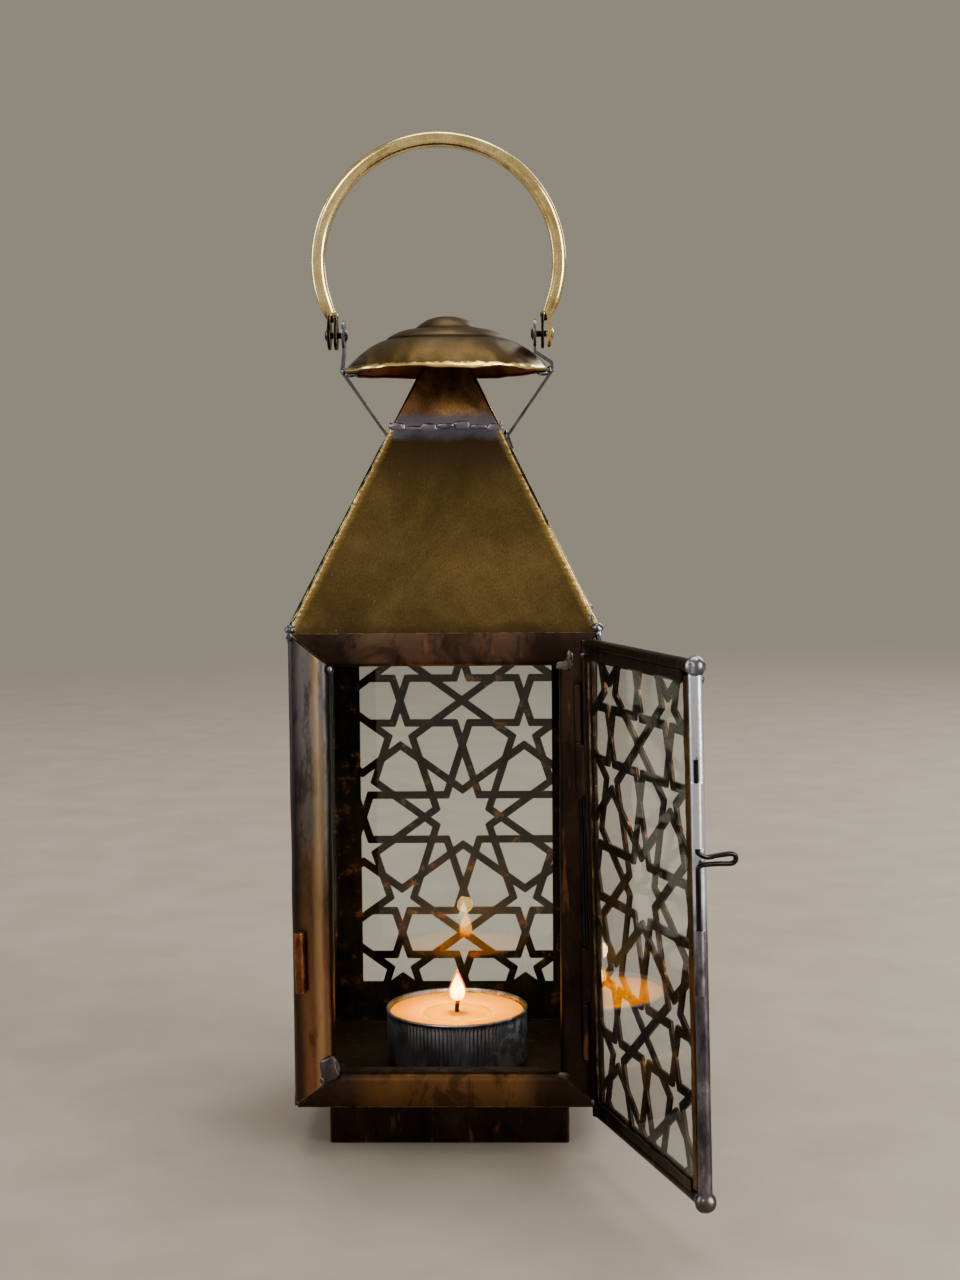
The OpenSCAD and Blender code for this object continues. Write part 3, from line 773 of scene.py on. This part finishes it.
def rail(depth, top, seed):
    """Front rail; the others are turned copies of it."""
    section = rail_section(depth)
    verts = []
    for k in range(RINGS):
        t = 2 * k / (RINGS - 1) - 1
        for p in section:
            away = min(max(p.y, 0), RAIL_H)
            reach = HALF - MITRE_GAP - away / RAIL_H * POST_W - (0.9 if p.x > ROLL else 0)
            reach = min(reach, HALF - SHEET)
            x = t * reach
            dent = rough((x, p.x, p.y), 14, 0.16, seed) * (1 - t * t)
            z = Z_EAVE - p.y if top else Z_BASE + p.y
            verts.append(Vector((x, -HALF + p.x + dent, z)))
    return verts, tube_faces(RINGS, len(section))


def make_frame():
    posts = {
        "front_left": (post(FOLD, 1.0), post_patina),
        # the hinge post's dark material is painted shade
        "front_right": (mirrored(post(FOLD, 2.3, HINGE_CROWN), "x"), dark_patina_and_shade),
        "back_left": (mirrored(post(0, 3.1), "y"), post_patina),
        "back_right": (turned(post(0, 4.4), 180), post_patina),
    }
    for corner, (shape, material) in posts.items():
        build(f"{corner}_post", shape, material, stands_for=[f"post_{corner}"])
    for k, side in enumerate(SIDES):
        for top in (True, False):
            level = "top" if top else "bottom"
            depth = 0 if side != "front" else FOLD if top else SHELF
            shape = turned(rail(depth, top, 5.0 + k + 7 * top), 90 * k)
            material = rail_high_patina if top else rail_low_patina
            build(f"{side}_{level}_rail", shape, material, stands_for=[f"rail_{level}_{side}"])


# ---- roof, chimney and cap ----

def plate(w0, y0, z0, w1, y1, z1, thickness, dish, seed, cols=28, rows=28):
    """Sloping plate on the front, from half width w0 at (-y0, z0) to w1 at (-y1, z1)."""
    slope = Vector((0, y0 - y1, z1 - z0)).normalized()
    out = Vector((0, -slope.z, slope.y))
    verts = []
    for layer in (0, 1):
        for r in range(rows + 1):
            t = r / rows
            w = w0 + (w1 - w0) * t - layer * thickness
            for c in range(cols + 1):
                s = 2 * c / cols - 1
                p = Vector((s * w, -(y0 + (y1 - y0) * t), z0 + (z1 - z0) * t))
                inside = (1 - s ** 4) * math.sin(math.pi * t)
                push = dish * inside + rough(p, 11, 0.22, seed) * inside
                verts.append(p + out * (push - layer * thickness))
    row = cols + 1
    size = row * (rows + 1)
    faces = []
    for a in (r * row + c for r in range(rows) for c in range(cols)):
        face = [a, a + 1, a + row + 1, a + row]
        faces += [face, [i + size for i in face[::-1]]]
    corner = rows * row
    rim = [*range(cols), *range(cols, size - 1, row), *range(size - 1, corner, -1), *range(corner, 0, -row)]
    faces += [[b, a, a + size, b + size] for a, b in zip(rim, rim[1:] + rim[:1])]
    return verts, faces


def seam(start, end, radius, seed, steps=40):
    """A thin run of worn metal along an edge."""
    path = [start + (end - start) * (i / steps) for i in range(steps + 1)]

    def section(t):
        swell = 1 + 0.5 * noise.noise(Vector((t * 17, seed, 0.3)))
        return circle(8, radius * swell * (0.35 + 0.65 * min(1, 12 * t, 12 * (1 - t))))

    return sweep(path, section, (1, 0, 0))


def make_roof():
    hips = []
    for k, side in enumerate(SIDES):
        panel = plate(HALF - 0.02, HALF, Z_EAVE, NECK_HALF, NECK_HALF, Z_NECK, 0.88, -0.25, 1.5 + k)
        build(f"{side}_roof_panel", turned(panel, 90 * k), roof_brass, stands_for=[f"roof_{side}"])
        tab = plate(CHIMNEY_W0, NECK_HALF, Z_NECK, CHIMNEY_W1, CHIMNEY_IN, CHIMNEY_TOP, SHEET, 0.1, 9.5 + k,
                    cols=16, rows=20)
        build(f"{side}_chimney_plate", turned(tab, 90 * k), chimney_patina, stands_for=[f"chimney_{side}"])
        turn = Matrix.Rotation(math.radians(90 * k), 4, "Z")
        low = turn @ Vector((HALF - 0.2, -HALF + 0.2, Z_EAVE + 1))
        high = turn @ Vector((NECK_HALF - 0.1, -NECK_HALF + 0.1, Z_NECK))
        hips.append(seam(low, high, 0.34, k + 0.5))
    build("roof_hip_seams", merge(*hips), handle_brass, slot="bright_brass", sharp=80)


def bulging(a, b, sag, steps):
    """Points from a up to b, bowed outwards by sag."""
    a, b = Vector(a), Vector(b)
    run = b - a
    out = Vector((run.y, -run.x)).normalized()
    return [a + run * (i / steps) + out * 4 * sag * (i / steps) * (1 - i / steps) for i in range(steps)]


def make_cap():
    (r1, h1), (r2, h2) = CAP_STEPS
    outer = bulging((CAP_R, 0), (r1 + 1.0, h1 - 0.55), 0.8, 16)
    outer += [Vector(p) for p in ((r1 + 0.85, h1 - 0.6), (r1 + 0.55, h1 - 0.55), (r1 + 0.25, h1 - 0.3))]
    outer += bulging((r1, h1), (r2 + 1.0, h2 - 0.45), 0.5, 12)
    outer += [Vector(p) for p in ((r2 + 0.85, h2 - 0.5), (r2 + 0.55, h2 - 0.45), (r2 + 0.25, h2 - 0.22))]
    outer += bulging((r2, h2), (0, CAP_H), 0.9, 12)
    outer.append(Vector((0, CAP_H)))
    inner = [Vector((p.x * 0.985, p.y - 0.7)) for p in outer]
    roll = [Vector((CAP_R - 0.45, -0.4)) + 0.5 * Vector((math.cos(math.radians(d)), math.sin(math.radians(d))))
            for d in (30, 0, 320, 280, 240, 200)]
    profile = [(p.x, Z_RIM + p.y) for p in outer[::-1] + roll + inner]

    def dented(a, r, z):
        edge = (r / CAP_R) ** 6
        fine = noise.noise(around(a, 9, 1.4))
        return 0.25 * edge * fine, edge * (0.55 * noise.noise(around(a, 2.2, 0.4)) + 0.18 * fine)

    build("cap_dome", lathe(profile, 160, wobble=dented), cap_brass, stands_for=["vent_cap"])


# ---- solder: lumps where sheets meet ----

def solder_lumps(name, shapes, material=solder, **how):
    build(name, merge(*shapes), material, sharp=180, **how)


def make_solder():
    solder_lumps("eave_solder_lumps", all_round(lambda k: (
        blob((HALF - 0.9, -HALF + 0.9, Z_EAVE + 0.9), (1.5, 1.5, 1.3), 1.1 + k),
        blob((HALF - 0.4, -HALF + 0.5, Z_EAVE - 0.6), (0.8, 0.9, 1.5), 6.1 + k),
        blob((HALF - 2.2, -HALF + 2.0, Z_EAVE + 2.8), (0.8, 0.8, 1.4), 3.1 + k),
    )), stands_for=["eave_solder"])

    rim = Z_RIM - 0.6
    tabs = all_round(lambda k: (
        blob((0.6, -CHIMNEY_IN - 1.2, CHIMNEY_TOP - 1.6), (3.6, 1.2, 1.5), 2.2 + k),
        blob((3.6, -CHIMNEY_IN - 1.6, CHIMNEY_TOP - 3.4), (1.0, 0.8, 1.6), 8.2 + k),
    ))
    for s in (-1, 1):
        tabs.append(blob((s * (CAP_R + 0.1), -0.6, rim + 0.3), (1.2, 2.6, 1.0), 4.4 + s))
        tabs.append(blob((s * (CAP_R - 1.6), -2.2, rim - 0.5), (1.7, 1.7, 0.7), 5.9 + s))
        tabs.append(blob((s * (NECK_HALF + 1.1), 0.2, Z_NECK - 1.8), (0.7, 2.6, 1.6), 7.3 + s))
    solder_lumps("cap_solder", tabs, slot="solder")

    solder_lumps("neck_solder", all_round(lambda k: [
        blob(((n / 3 - 1) * (NECK_HALF - 1.6), -NECK_HALF - 0.05, Z_NECK + 0.5 + 0.4 * math.sin(5 * n + k)),
             (2.1, 0.32, 0.9 + 0.25 * math.cos(3 * n + k)), 11.3 + n + 7 * k, 0.3)
        for n in range(7)
    ]), neck_tin, slot="solder")

    w, front = HALF - POST_W, -HALF + 0.1
    low, high = Z_BASE + RAIL_H, Z_EAVE - RAIL_H
    solder_lumps("frame_solder", (
        blob((-w - 1.6, front, low + 1.2), (3.0, 0.8, 3.2), 1.9, 0.34),
        blob((-w - 4.2, front, low - 1.8), (1.8, 0.6, 2.4), 2.9, 0.34),
        blob((-w + 0.2, front + 0.8, high - 0.6), (0.9, 1.2, 1.2), 3.7),
        blob((w + 1.2, front, high + 0.2), (2.1, 0.7, 1.3), 4.7, 0.34),
        blob((w + 2.6, front, high + 2.4), (0.9, 0.6, 1.6), 5.7, 0.34),
        blob((w + 0.8, front, low - 0.4), (1.6, 0.6, 1.1), 6.7, 0.3),
    ), solder_dark, slot="solder")

    foot_low, foot_high = mm_box("foot_pan")
    z = foot_high.z - 1.0
    scars = []
    for k, (x, width) in enumerate(((-0.86, 3.4), (-0.62, 2.2), (0.9, 2.6), (0.55, 1.6))):
        scars.append(blob((x * foot_high.x, foot_low.y - 0.1, z), (width, 0.5, 0.8), 9.1 + k))
        scars.append(blob((-x * foot_high.x, foot_high.y + 0.1, z), (width, 0.5, 0.8), 4.1 + k))
    solder_lumps("foot_solder", scars, solder_dark, slot="solder")


# ---- handle, rivets ----

ARCH_RISE = 18.8
ARCH_R = 31.4
LEAF_TOP = 4.2              # height over the pivot where the arch meets its leaves
HANDLE_T, HANDLE_D = 3.6, 5.0
LEAF_T = 0.8
LEAF_GAP = 0.9


def handle_section(scale):
    """Folded strip: rounded outside, with a slit along its front face."""
    r = 1.4
    t, d = HANDLE_T / 2, HANDLE_D / 2
    outline = []
    for cx, cy, a0 in ((t - r, d - r, 0), (-t + r, d - r, 90), (-t + r, -d + r, 180), (t - r, -d + r, 270)):
        outline += arc(cx, cy, r, a0, a0 + 90)
        if a0 == 180:
            slit = ((0.39, -d), (0.45, -d + 0.7), (0.65, -d + 0.7), (0.71, -d + 0.02))
            outline += [Vector(p) for p in slit]
    return [(p.y * scale, p.x * scale) for p in outline]


def leaf(x, outward, dome):
    """Rounded leaf round the pivot, narrowing upwards into the arch; dome bows it outwards."""
    outline = arc(0, 0, 3.8, -215, 35, 30)
    neck = ((2.5, 3.4), (2.25, 4.6), (2.0, 6.0))
    outline += [Vector(p) for p in neck] + [Vector((-y, z)) for y, z in neck[::-1]]
    scales = (0.35, 0.7, 0.92, 1.0)
    count = len(outline)
    edge = (len(scales) - 1) * count
    block = edge + count + 1
    verts, faces = [], []
    for layer in (0, 1):
        base = layer * block
        for k in scales:
            at = x + outward * (layer * LEAF_T + dome * (1 - k * k))
            verts += [Vector((at, p.x * k, p.y * k)) for p in outline]
        verts.append(Vector((x + outward * (layer * LEAF_T + dome), 0, 0)))
        for i in range(count):
            j = (i + 1) % count
            faces.append([base + block - 1, base + i, base + j])
            faces += [[a + i, a + j, a + count + j, a + count + i] for a in range(base, base + edge, count)]
    faces += [[edge + i, edge + (i + 1) % count, block + edge + (i + 1) % count, block + edge + i]
              for i in range(count)]
    return verts, faces


def make_handle():
    drop = math.asin((ARCH_RISE - LEAF_TOP) / ARCH_R)
    steps = 200
    path = []
    for i in range(steps + 1):
        a = -drop + (math.pi + 2 * drop) * i / steps
        path.append(PIVOT + Vector((ARCH_R * math.cos(a), 0, ARCH_RISE + ARCH_R * math.sin(a))))

    def section(t):
        taper = min(1, 0.72 + 0.28 * min(t, 1 - t) * 26)
        return handle_section(taper * (1 + 0.02 * noise.noise(Vector((t * 22, 0.4, 0)))))

    ends = []
    for s in (-1, 1):
        ends.append(leaf(s * LEAF_X, s, 0.0))
        ends.append(leaf(s * (LEAF_X + LEAF_T + LEAF_GAP), s, 0.3))
        ends.append(blob((s * (LEAF_X + 1.25), 0, 5.0), (1.45, 2.2, 1.7), 2.0 + s, 0.08))
    bow = merge(sweep(path, section, (0, 1, 0)), moved(merge(*ends), Matrix.Translation(PIVOT)))
    build("handle_bow", bow, handle_brass, "handle", ["handle"], sharp=35)

    head, shaft = 1.6, 0.8
    for name in ("left", "right"):
        low, high = mm_box(f"rivet_{name}")
        end = (high.x - low.x) / 2
        half = [(shaft, end - 0.6), (head, end - 0.6), (head, end - 0.45), (0.9, end - 0.05), (0, end)]
        profile = [(r, -h) for r, h in half[::-1]] + half
        turn = Matrix.Translation(centre(f"rivet_{name}")) @ Matrix.Rotation(math.pi / 2, 4, "Y")
        build(f"{name}_rivet", moved(lathe(profile, 32), turn), handle_brass, stands_for=[f"rivet_{name}"])


# ---- door ----

LIP_INSET = 3.4     # from a tube's end to the lips on it


def build_open(name, shape, material, body="door", **how):
    """A piece drawn on the closed door, standing open with it."""
    build(name, moved(shape, OPEN_DOOR), material, body, **how)


def door_edge(start, end, inward, seed):
    """Tube of the door's border, and the two lips that hold the panes."""
    along = (end - start).normalized()
    length = (end - start).length
    steps = max(8, int(length / 2.2))
    path = [start + along * (length * i / steps) for i in range(steps + 1)]

    def section(t):
        p = start + (end - start) * t
        return circle(24, TUBE_R * (1 + 0.03 * noise.noise(p / 6 + Vector((seed, 0, 0)))))

    lips = []
    run = length - 2 * LIP_INSET
    cells = max(8, int(run / 1.1))
    for side in (-1, 1):
        verts = []
        for i in range(cells + 1):
            p = start + along * (LIP_INSET + run * i / cells)
            reach = 3.15 + rough(p, 2.6, 0.35, seed + side) + rough(p, 9, 0.25, seed)
            wave = rough(p, 5, 0.1, seed - side)
            for far, out in ((1.0, 1.0), (1.0, 1.45), (reach, 1.42 + wave), (reach, 1.02 + wave * 0.5)):
                verts.append(p + inward * far + Vector((0, side * out, 0)))
        lips.append((verts, tube_faces(cells + 1, 4)))
    return sweep(path, section, (0, 1, 0)), merge(*lips)


def make_door():
    def at(x, z):
        return Vector((x, DOOR_Y, z))

    x, z = Vector((1, 0, 0)), Vector((0, 0, 1))
    low, high = BAR_LOW - 1.2, BAR_HIGH + 1.2
    left, right = STILE_FREE_X + TUBE_R - 0.5, STILE_HINGE_X - TUBE_R + 0.5
    edges = {
        "free_stile": (at(STILE_FREE_X, low), at(STILE_FREE_X, high), x),
        "hinge_stile": (at(STILE_HINGE_X, low), at(STILE_HINGE_X, high), -x),
        "top_bar": (at(left, BAR_HIGH), at(right, BAR_HIGH), -z),
        "bottom_bar": (at(left, BAR_LOW), at(right, BAR_LOW), z),
    }
    for k, (name, edge) in enumerate(edges.items()):
        tube, lips = door_edge(*edge, 1.0 + k)
        metal, lip_metal = (door_tube, door_lip) if name == "free_stile" else (dark_patina_and_shade, dark_patina_and_shade)
        build_open(f"{name}_tube", tube, metal, stands_for=[f"door_{name}"])
        build_open(f"{name}_lips", lips, lip_metal, slot="frame_patina")

    build_open("corner_ball_top", merge(
        blob((STILE_FREE_X - 0.1, DOOR_Y, BAR_HIGH + 0.1), (2.35, 2.2, 2.3), 1.4, 0.1),
        blob((STILE_FREE_X + 0.2, DOOR_Y - 0.4, BAR_HIGH - 2.6), (1.7, 1.8, 1.6), 2.4),
    ), solder, stands_for=["door_ball_top"], sharp=180)
    build_open("corner_ball_bottom", merge(
        blob((STILE_FREE_X, DOOR_Y, BAR_LOW), (2.4, 2.4, 2.45), 3.4, 0.06),
        blob((STILE_FREE_X + 1.6, DOOR_Y, BAR_LOW + 0.2), (1.6, 1.8, 1.8), 4.4),
    ), solder_dark, stands_for=["door_ball_bottom"], sharp=180)
    dabs = []
    for k, (low, high) in enumerate(BOLT_SLEEVES):
        for j, level in enumerate((low + 1.3, high - 1.5)):
            dabs.append(blob((STILE_FREE_X - 1.4, DOOR_Y + 0.6, level), (0.75, 0.9, 1.4), 3.3 * k + j + 0.4))
    dabs += [
        blob((STILE_FREE_X + 1.3, DOOR_Y - 1.2, 38.5), (0.8, 0.5, 1.8), 7.4),
        blob((STILE_FREE_X + 1.2, DOOR_Y - 1.3, 34.5), (0.7, 0.4, 0.9), 8.4),
        blob((STILE_HINGE_X + 0.4, DOOR_Y + 0.2, BAR_HIGH - 2.4), (1.6, 1.8, 1.2), 9.4),
        blob((STILE_HINGE_X + 0.4, DOOR_Y + 0.2, BAR_LOW + 2.4), (1.6, 1.8, 1.2), 9.9),
    ]
    build_open("door_solder", merge(*dabs), solder, slot="solder", sharp=180)


def make_bolt():
    """Bolt wire with its hairpin pull."""
    low, high = mm_box("latch_bolt")
    far = PULL_REACH
    pull = (  # distance out of the door, height over the pull's middle
        (0, -9), (0, -4.4), (0, -2.1), (0, -1.7), (0.1, -1.35), (0.4, -1.0), (1.0, -0.82), (2.4, -0.8),
        (4.6, -0.85), (far - 1.2, -1.05), (far - 0.2, -0.75), (far + 0.15, 0), (far - 0.2, 0.75),
        (far - 1.2, 1.05), (4.6, 0.95), (2.4, 0.75), (0.9, 1.25), (0.2, 1.8), (0, 2.4), (0, 6),
    )
    points = [(0, low.z), (0, low.z + 8), *((out, PULL_Z + up) for out, up in pull)]
    points += [(0, high.z - 6), (0, high.z)]
    path = smooth_path([(BOLT_X, HINGE.y - out, level) for out, level in points])
    bolt = sweep(path, circle(16, BOLT_R), (1, 0, 0))
    build_open("bolt_wire", bolt, black_wire, "bolt", stands_for=["latch_bolt"])


# ---- tealight ----

RIBS = 110
BRAID_COUNT = 20


def make_cup_and_wax():
    z0, z1 = CUP_LOW.z, CUP_HIGH.z
    wall = CUP_R - 0.35
    profile = [(0, z0), (wall - 1.4, z0), (wall - 0.5, z0 + 0.25), (wall, z0 + 0.9)]
    profile += [(wall, z0 + 0.9 + (z1 - z0 - 2.2) * k / 12) for k in range(1, 13)]
    profile += [(wall + 0.1, z1 - 0.9), (CUP_R - 0.02, z1 - 0.6), (CUP_R, z1 - 0.3), (CUP_R - 0.12, z1 - 0.05),
                (CUP_R - 0.4, z1), (CUP_R - 0.62, z1 - 0.15), (CUP_R - 0.66, z1 - 0.8), (wall - 0.4, z1 - 2),
                (wall - 0.4, z0 + 1.2), (wall - 1.2, z0 + 0.4), (0, z0 + 0.4)]

    def ribbed(a, r, z):
        lift = 0.06 * noise.noise(around(a, 5, 2))
        if not (z0 + 0.8 < z < z1 - 0.9 and r > wall - 0.2):
            return 0, lift
        return 0.13 * math.cos(RIBS * a) + 0.18 * noise.noise(around(a, 3, z / 9)), lift

    def uneven(a, r, z):
        return (0.5 * noise.noise(around(a, 1.6, 5)) if 8 < r < 11 else 0), 0

    place = (CUP.x, CUP.y, 0)
    cup = lathe(profile, RIBS * 6, place, ribbed)
    build("candle_cup", cup, cup_foil, "tealight", ["tealight_cup"], sharp=60)

    r = CUP_R - 0.85
    low = mm_box("candle_wax")[0].z
    surface = [(r, low), (r, WAX_TOP - 0.2), (r - 0.3, WAX_TOP + 0.15), (r - 1.2, WAX_TOP),
               (13, WAX_TOP - 0.15), (10.4, WAX_TOP - 0.2), (9.4, WAX_TOP - 0.5), (8.6, WAX_TOP - 1.4),
               (1.2, WAX_TOP - 1.6), (1.2, low + 1), (5, low + 1), (5, low)]
    build("wax_body", lathe(surface, 128, place, uneven), wax, "tealight", ["candle_wax"])
    level = WAX_TOP - 0.62
    pool = [(0.75, level + 0.35), (1.1, level + 0.12), (2.2, level), (7.6, level), (8.6, level + 0.06),
            (9.3, level + 0.2), (8.7, level - 0.9), (0.75, level - 0.9)]
    build("wax_pool", lathe(pool, 96, place, uneven), wax_melt, "tealight", slot="wax")


def make_wick():
    foot, top = mm_box("wick")
    axis = centre("wick")
    lean = [(0, foot.z), (0, WAX_TOP - 1), (0.05, WAX_TOP + 1), (0.25, top.z - 0.9), (0.5, top.z - 0.1)]
    path = smooth_path([(axis.x + d, axis.y, z) for d, z in lean])

    def braid(t):
        points = []
        for k, (u, v) in enumerate(circle(BRAID_COUNT)):
            strands = 1 + 0.12 * math.cos(TAU * (3 * k / BRAID_COUNT + 9 * t))
            r = 0.55 * (1 - 0.35 * max(0, t - 0.8) * 5) * strands
            points.append((u * r, v * r))
        return points

    build("wick_braid", sweep(path, braid, (0, 1, 0)), wick_char, "tealight", ["wick"])


def flame(radius, low, high):
    rings = []
    axis = centre("wick")
    for i in range(25):
        t = i / 24
        r = radius * math.sin(math.pi * t ** 0.62) ** 0.85 * (1 - 0.25 * t)
        rings.append((0 if i in (0, 24) else max(r, 0.02), low + (high - low) * t))
    return lathe(rings, 40, (axis.x + 0.2, axis.y, 0))


def make_flame():
    """The flame, and its own warm light, which moves with the tealight."""
    low, high = FLAME_SPAN
    build("flame_inner", flame(2.1, low + 0.9, high - 1.2), flame_core, "tealight")
    outer = build("flame_outer", flame(2.7, low, high), flame_glow, "tealight")
    data = bpy.data.lights.new("candle", "POINT")
    data.energy = 0.045
    data.color = (1, 0.62, 0.24)
    data.shadow_soft_size = 2.5 * MM
    lamp = add_object("candle", data)
    axis = centre("wick")
    lamp.parent = outer
    lamp.visible_glossy = False
    lamp.location = (axis.x * MM, axis.y * MM, (high + 1) * MM)


# ---- put together ----

make_frame()
make_roof()
make_cap()
make_solder()
make_handle()
make_door()
make_bolt()
make_cup_and_wax()
make_wick()
make_flame()

for names, material, edge in (
    ("foot_pan", dark_patina_and_shade, 0.6),
    ("floor_plate", floor_patina, 0.12),
    ("lattice_left lattice_right lattice_back door_lattice", strapwork, 0.1),
    ("glass_left glass_right glass_back", wall_glass, 0.15),
    ("door_glass", pane_glass, 0.12),
    ("bracket_left bracket_right", solder_dark, 0.15),
    ("hinge_knuckle_upper hinge_knuckle_lower door_knuckle_upper door_knuckle_lower", dark_patina_and_shade, 0.12),
    ("bolt_sleeve_upper bolt_sleeve_lower", door_tube, 0.12),
    ("bolt_keeper", keeper_copper, 0.15),
    ("hinge_wire", black_wire, 0.1),
    ("wick_clip", cup_foil, 0.05),
):
    for name in names.split():
        dress(name, material, edge)


# ---- studio ----

def add_light(name, place, size, power, colour):
    """A panel light that faces the lantern's middle."""
    data = bpy.data.lights.new(name, "AREA")
    data.shape = "RECTANGLE"
    data.size, data.size_y = size
    data.energy = power
    data.color = colour
    lamp = add_object(name, data)
    lamp.location = place
    lamp.rotation_euler = (Vector((0, 0, 0.13)) - Vector(place)).to_track_quat("-Z", "Y").to_euler()
    lamp.visible_camera = False
    lamp.visible_transmission = False


def make_world():
    """A plain room, lighter towards the camera's side."""
    world = bpy.data.worlds.new("studio")
    bpy.context.scene.world = world
    world.use_nodes = True
    tree = world.node_tree
    tree.nodes.clear()
    where, split, ramp, sky, output = (tree.nodes.new("ShaderNode" + kind) for kind in (
        "TexCoord", "SeparateXYZ", "ValToRGB", "Background", "OutputWorld"))
    set_stops(ramp, ((0.0, tone(190, 183, 172)), (0.8, tone(142, 136, 124))))
    tree.links.new(where.outputs["Generated"], split.inputs[0])
    tree.links.new(split.outputs["Y"], ramp.inputs[0])
    tree.links.new(ramp.outputs[0], sky.inputs[0])
    tree.links.new(sky.outputs[0], output.inputs[0])


def make_floor():
    """A pale floor that fades into the room."""
    paint = Surface("floor_paint")
    pale = paint.ramp(paint.noise(30, detail=5), (0.3, tone(150, 142, 132)), (0.7, tone(160, 152, 142)))
    paint.set({"Base Color": pale, "Roughness": 0.6})
    far = paint.node("VectorMath", {0: paint.place})
    far.operation = "LENGTH"
    paint.see_through(paint.band(far.outputs["Value"], 0.5, 1.6))
    mesh = bpy.data.meshes.new("floor")
    reach = 3
    corners = [(-reach, -reach, 0), (reach, -reach, 0), (reach, reach, 0), (-reach, reach, 0)]
    mesh.from_pydata(corners, [], [(0, 1, 2, 3)])
    mesh.materials.append(paint.material)
    obj = add_object("floor", mesh)


CAMERA_PLACE = (0.020504, -0.507234, 0.168379)
CAMERA_TURN = (1.411, -4.777, -0.472)   # yaw, pitch and roll in degrees
CAMERA_LENS = 54.03


def make_camera():
    """The photograph's viewpoint, level with the lantern's roof and a little to its right."""
    data = bpy.data.cameras.new("camera")
    data.sensor_width = 36
    data.lens = CAMERA_LENS
    data.clip_start = 0.01
    camera = add_object("camera", data)
    yaw, pitch, roll = (math.radians(a) for a in CAMERA_TURN)
    camera.matrix_world = (
        Matrix.Translation(CAMERA_PLACE)
        @ Matrix.Rotation(yaw, 4, "Z")
        @ Matrix.Rotation(math.pi / 2 + pitch, 4, "X")
        @ Matrix.Rotation(roll, 4, "Z")
    )
    bpy.context.scene.camera = camera


add_light("window", (1.25, -0.75, 0.55), (0.7, 1.1), 20, (1, 0.98, 0.96))
add_light("lamp", (-0.75, -1.25, 0.95), (0.45, 0.35), 5, (1, 0.96, 0.9))
add_light("left", (-1.4, 0.1, 0.5), (0.5, 1.0), 6, (0.92, 0.96, 1))
add_light("top", (0.1, 0.25, 1.6), (1.1, 0.9), 12, (1, 0.98, 0.95))
add_light("back", (0.7, 1.3, 0.8), (0.6, 0.8), 6, (1, 0.96, 0.9))
make_world()
make_floor()
make_camera()
bpy.context.scene.view_settings.view_transform = "AgX"
bpy.context.scene.view_settings.look = "AgX - Medium High Contrast"
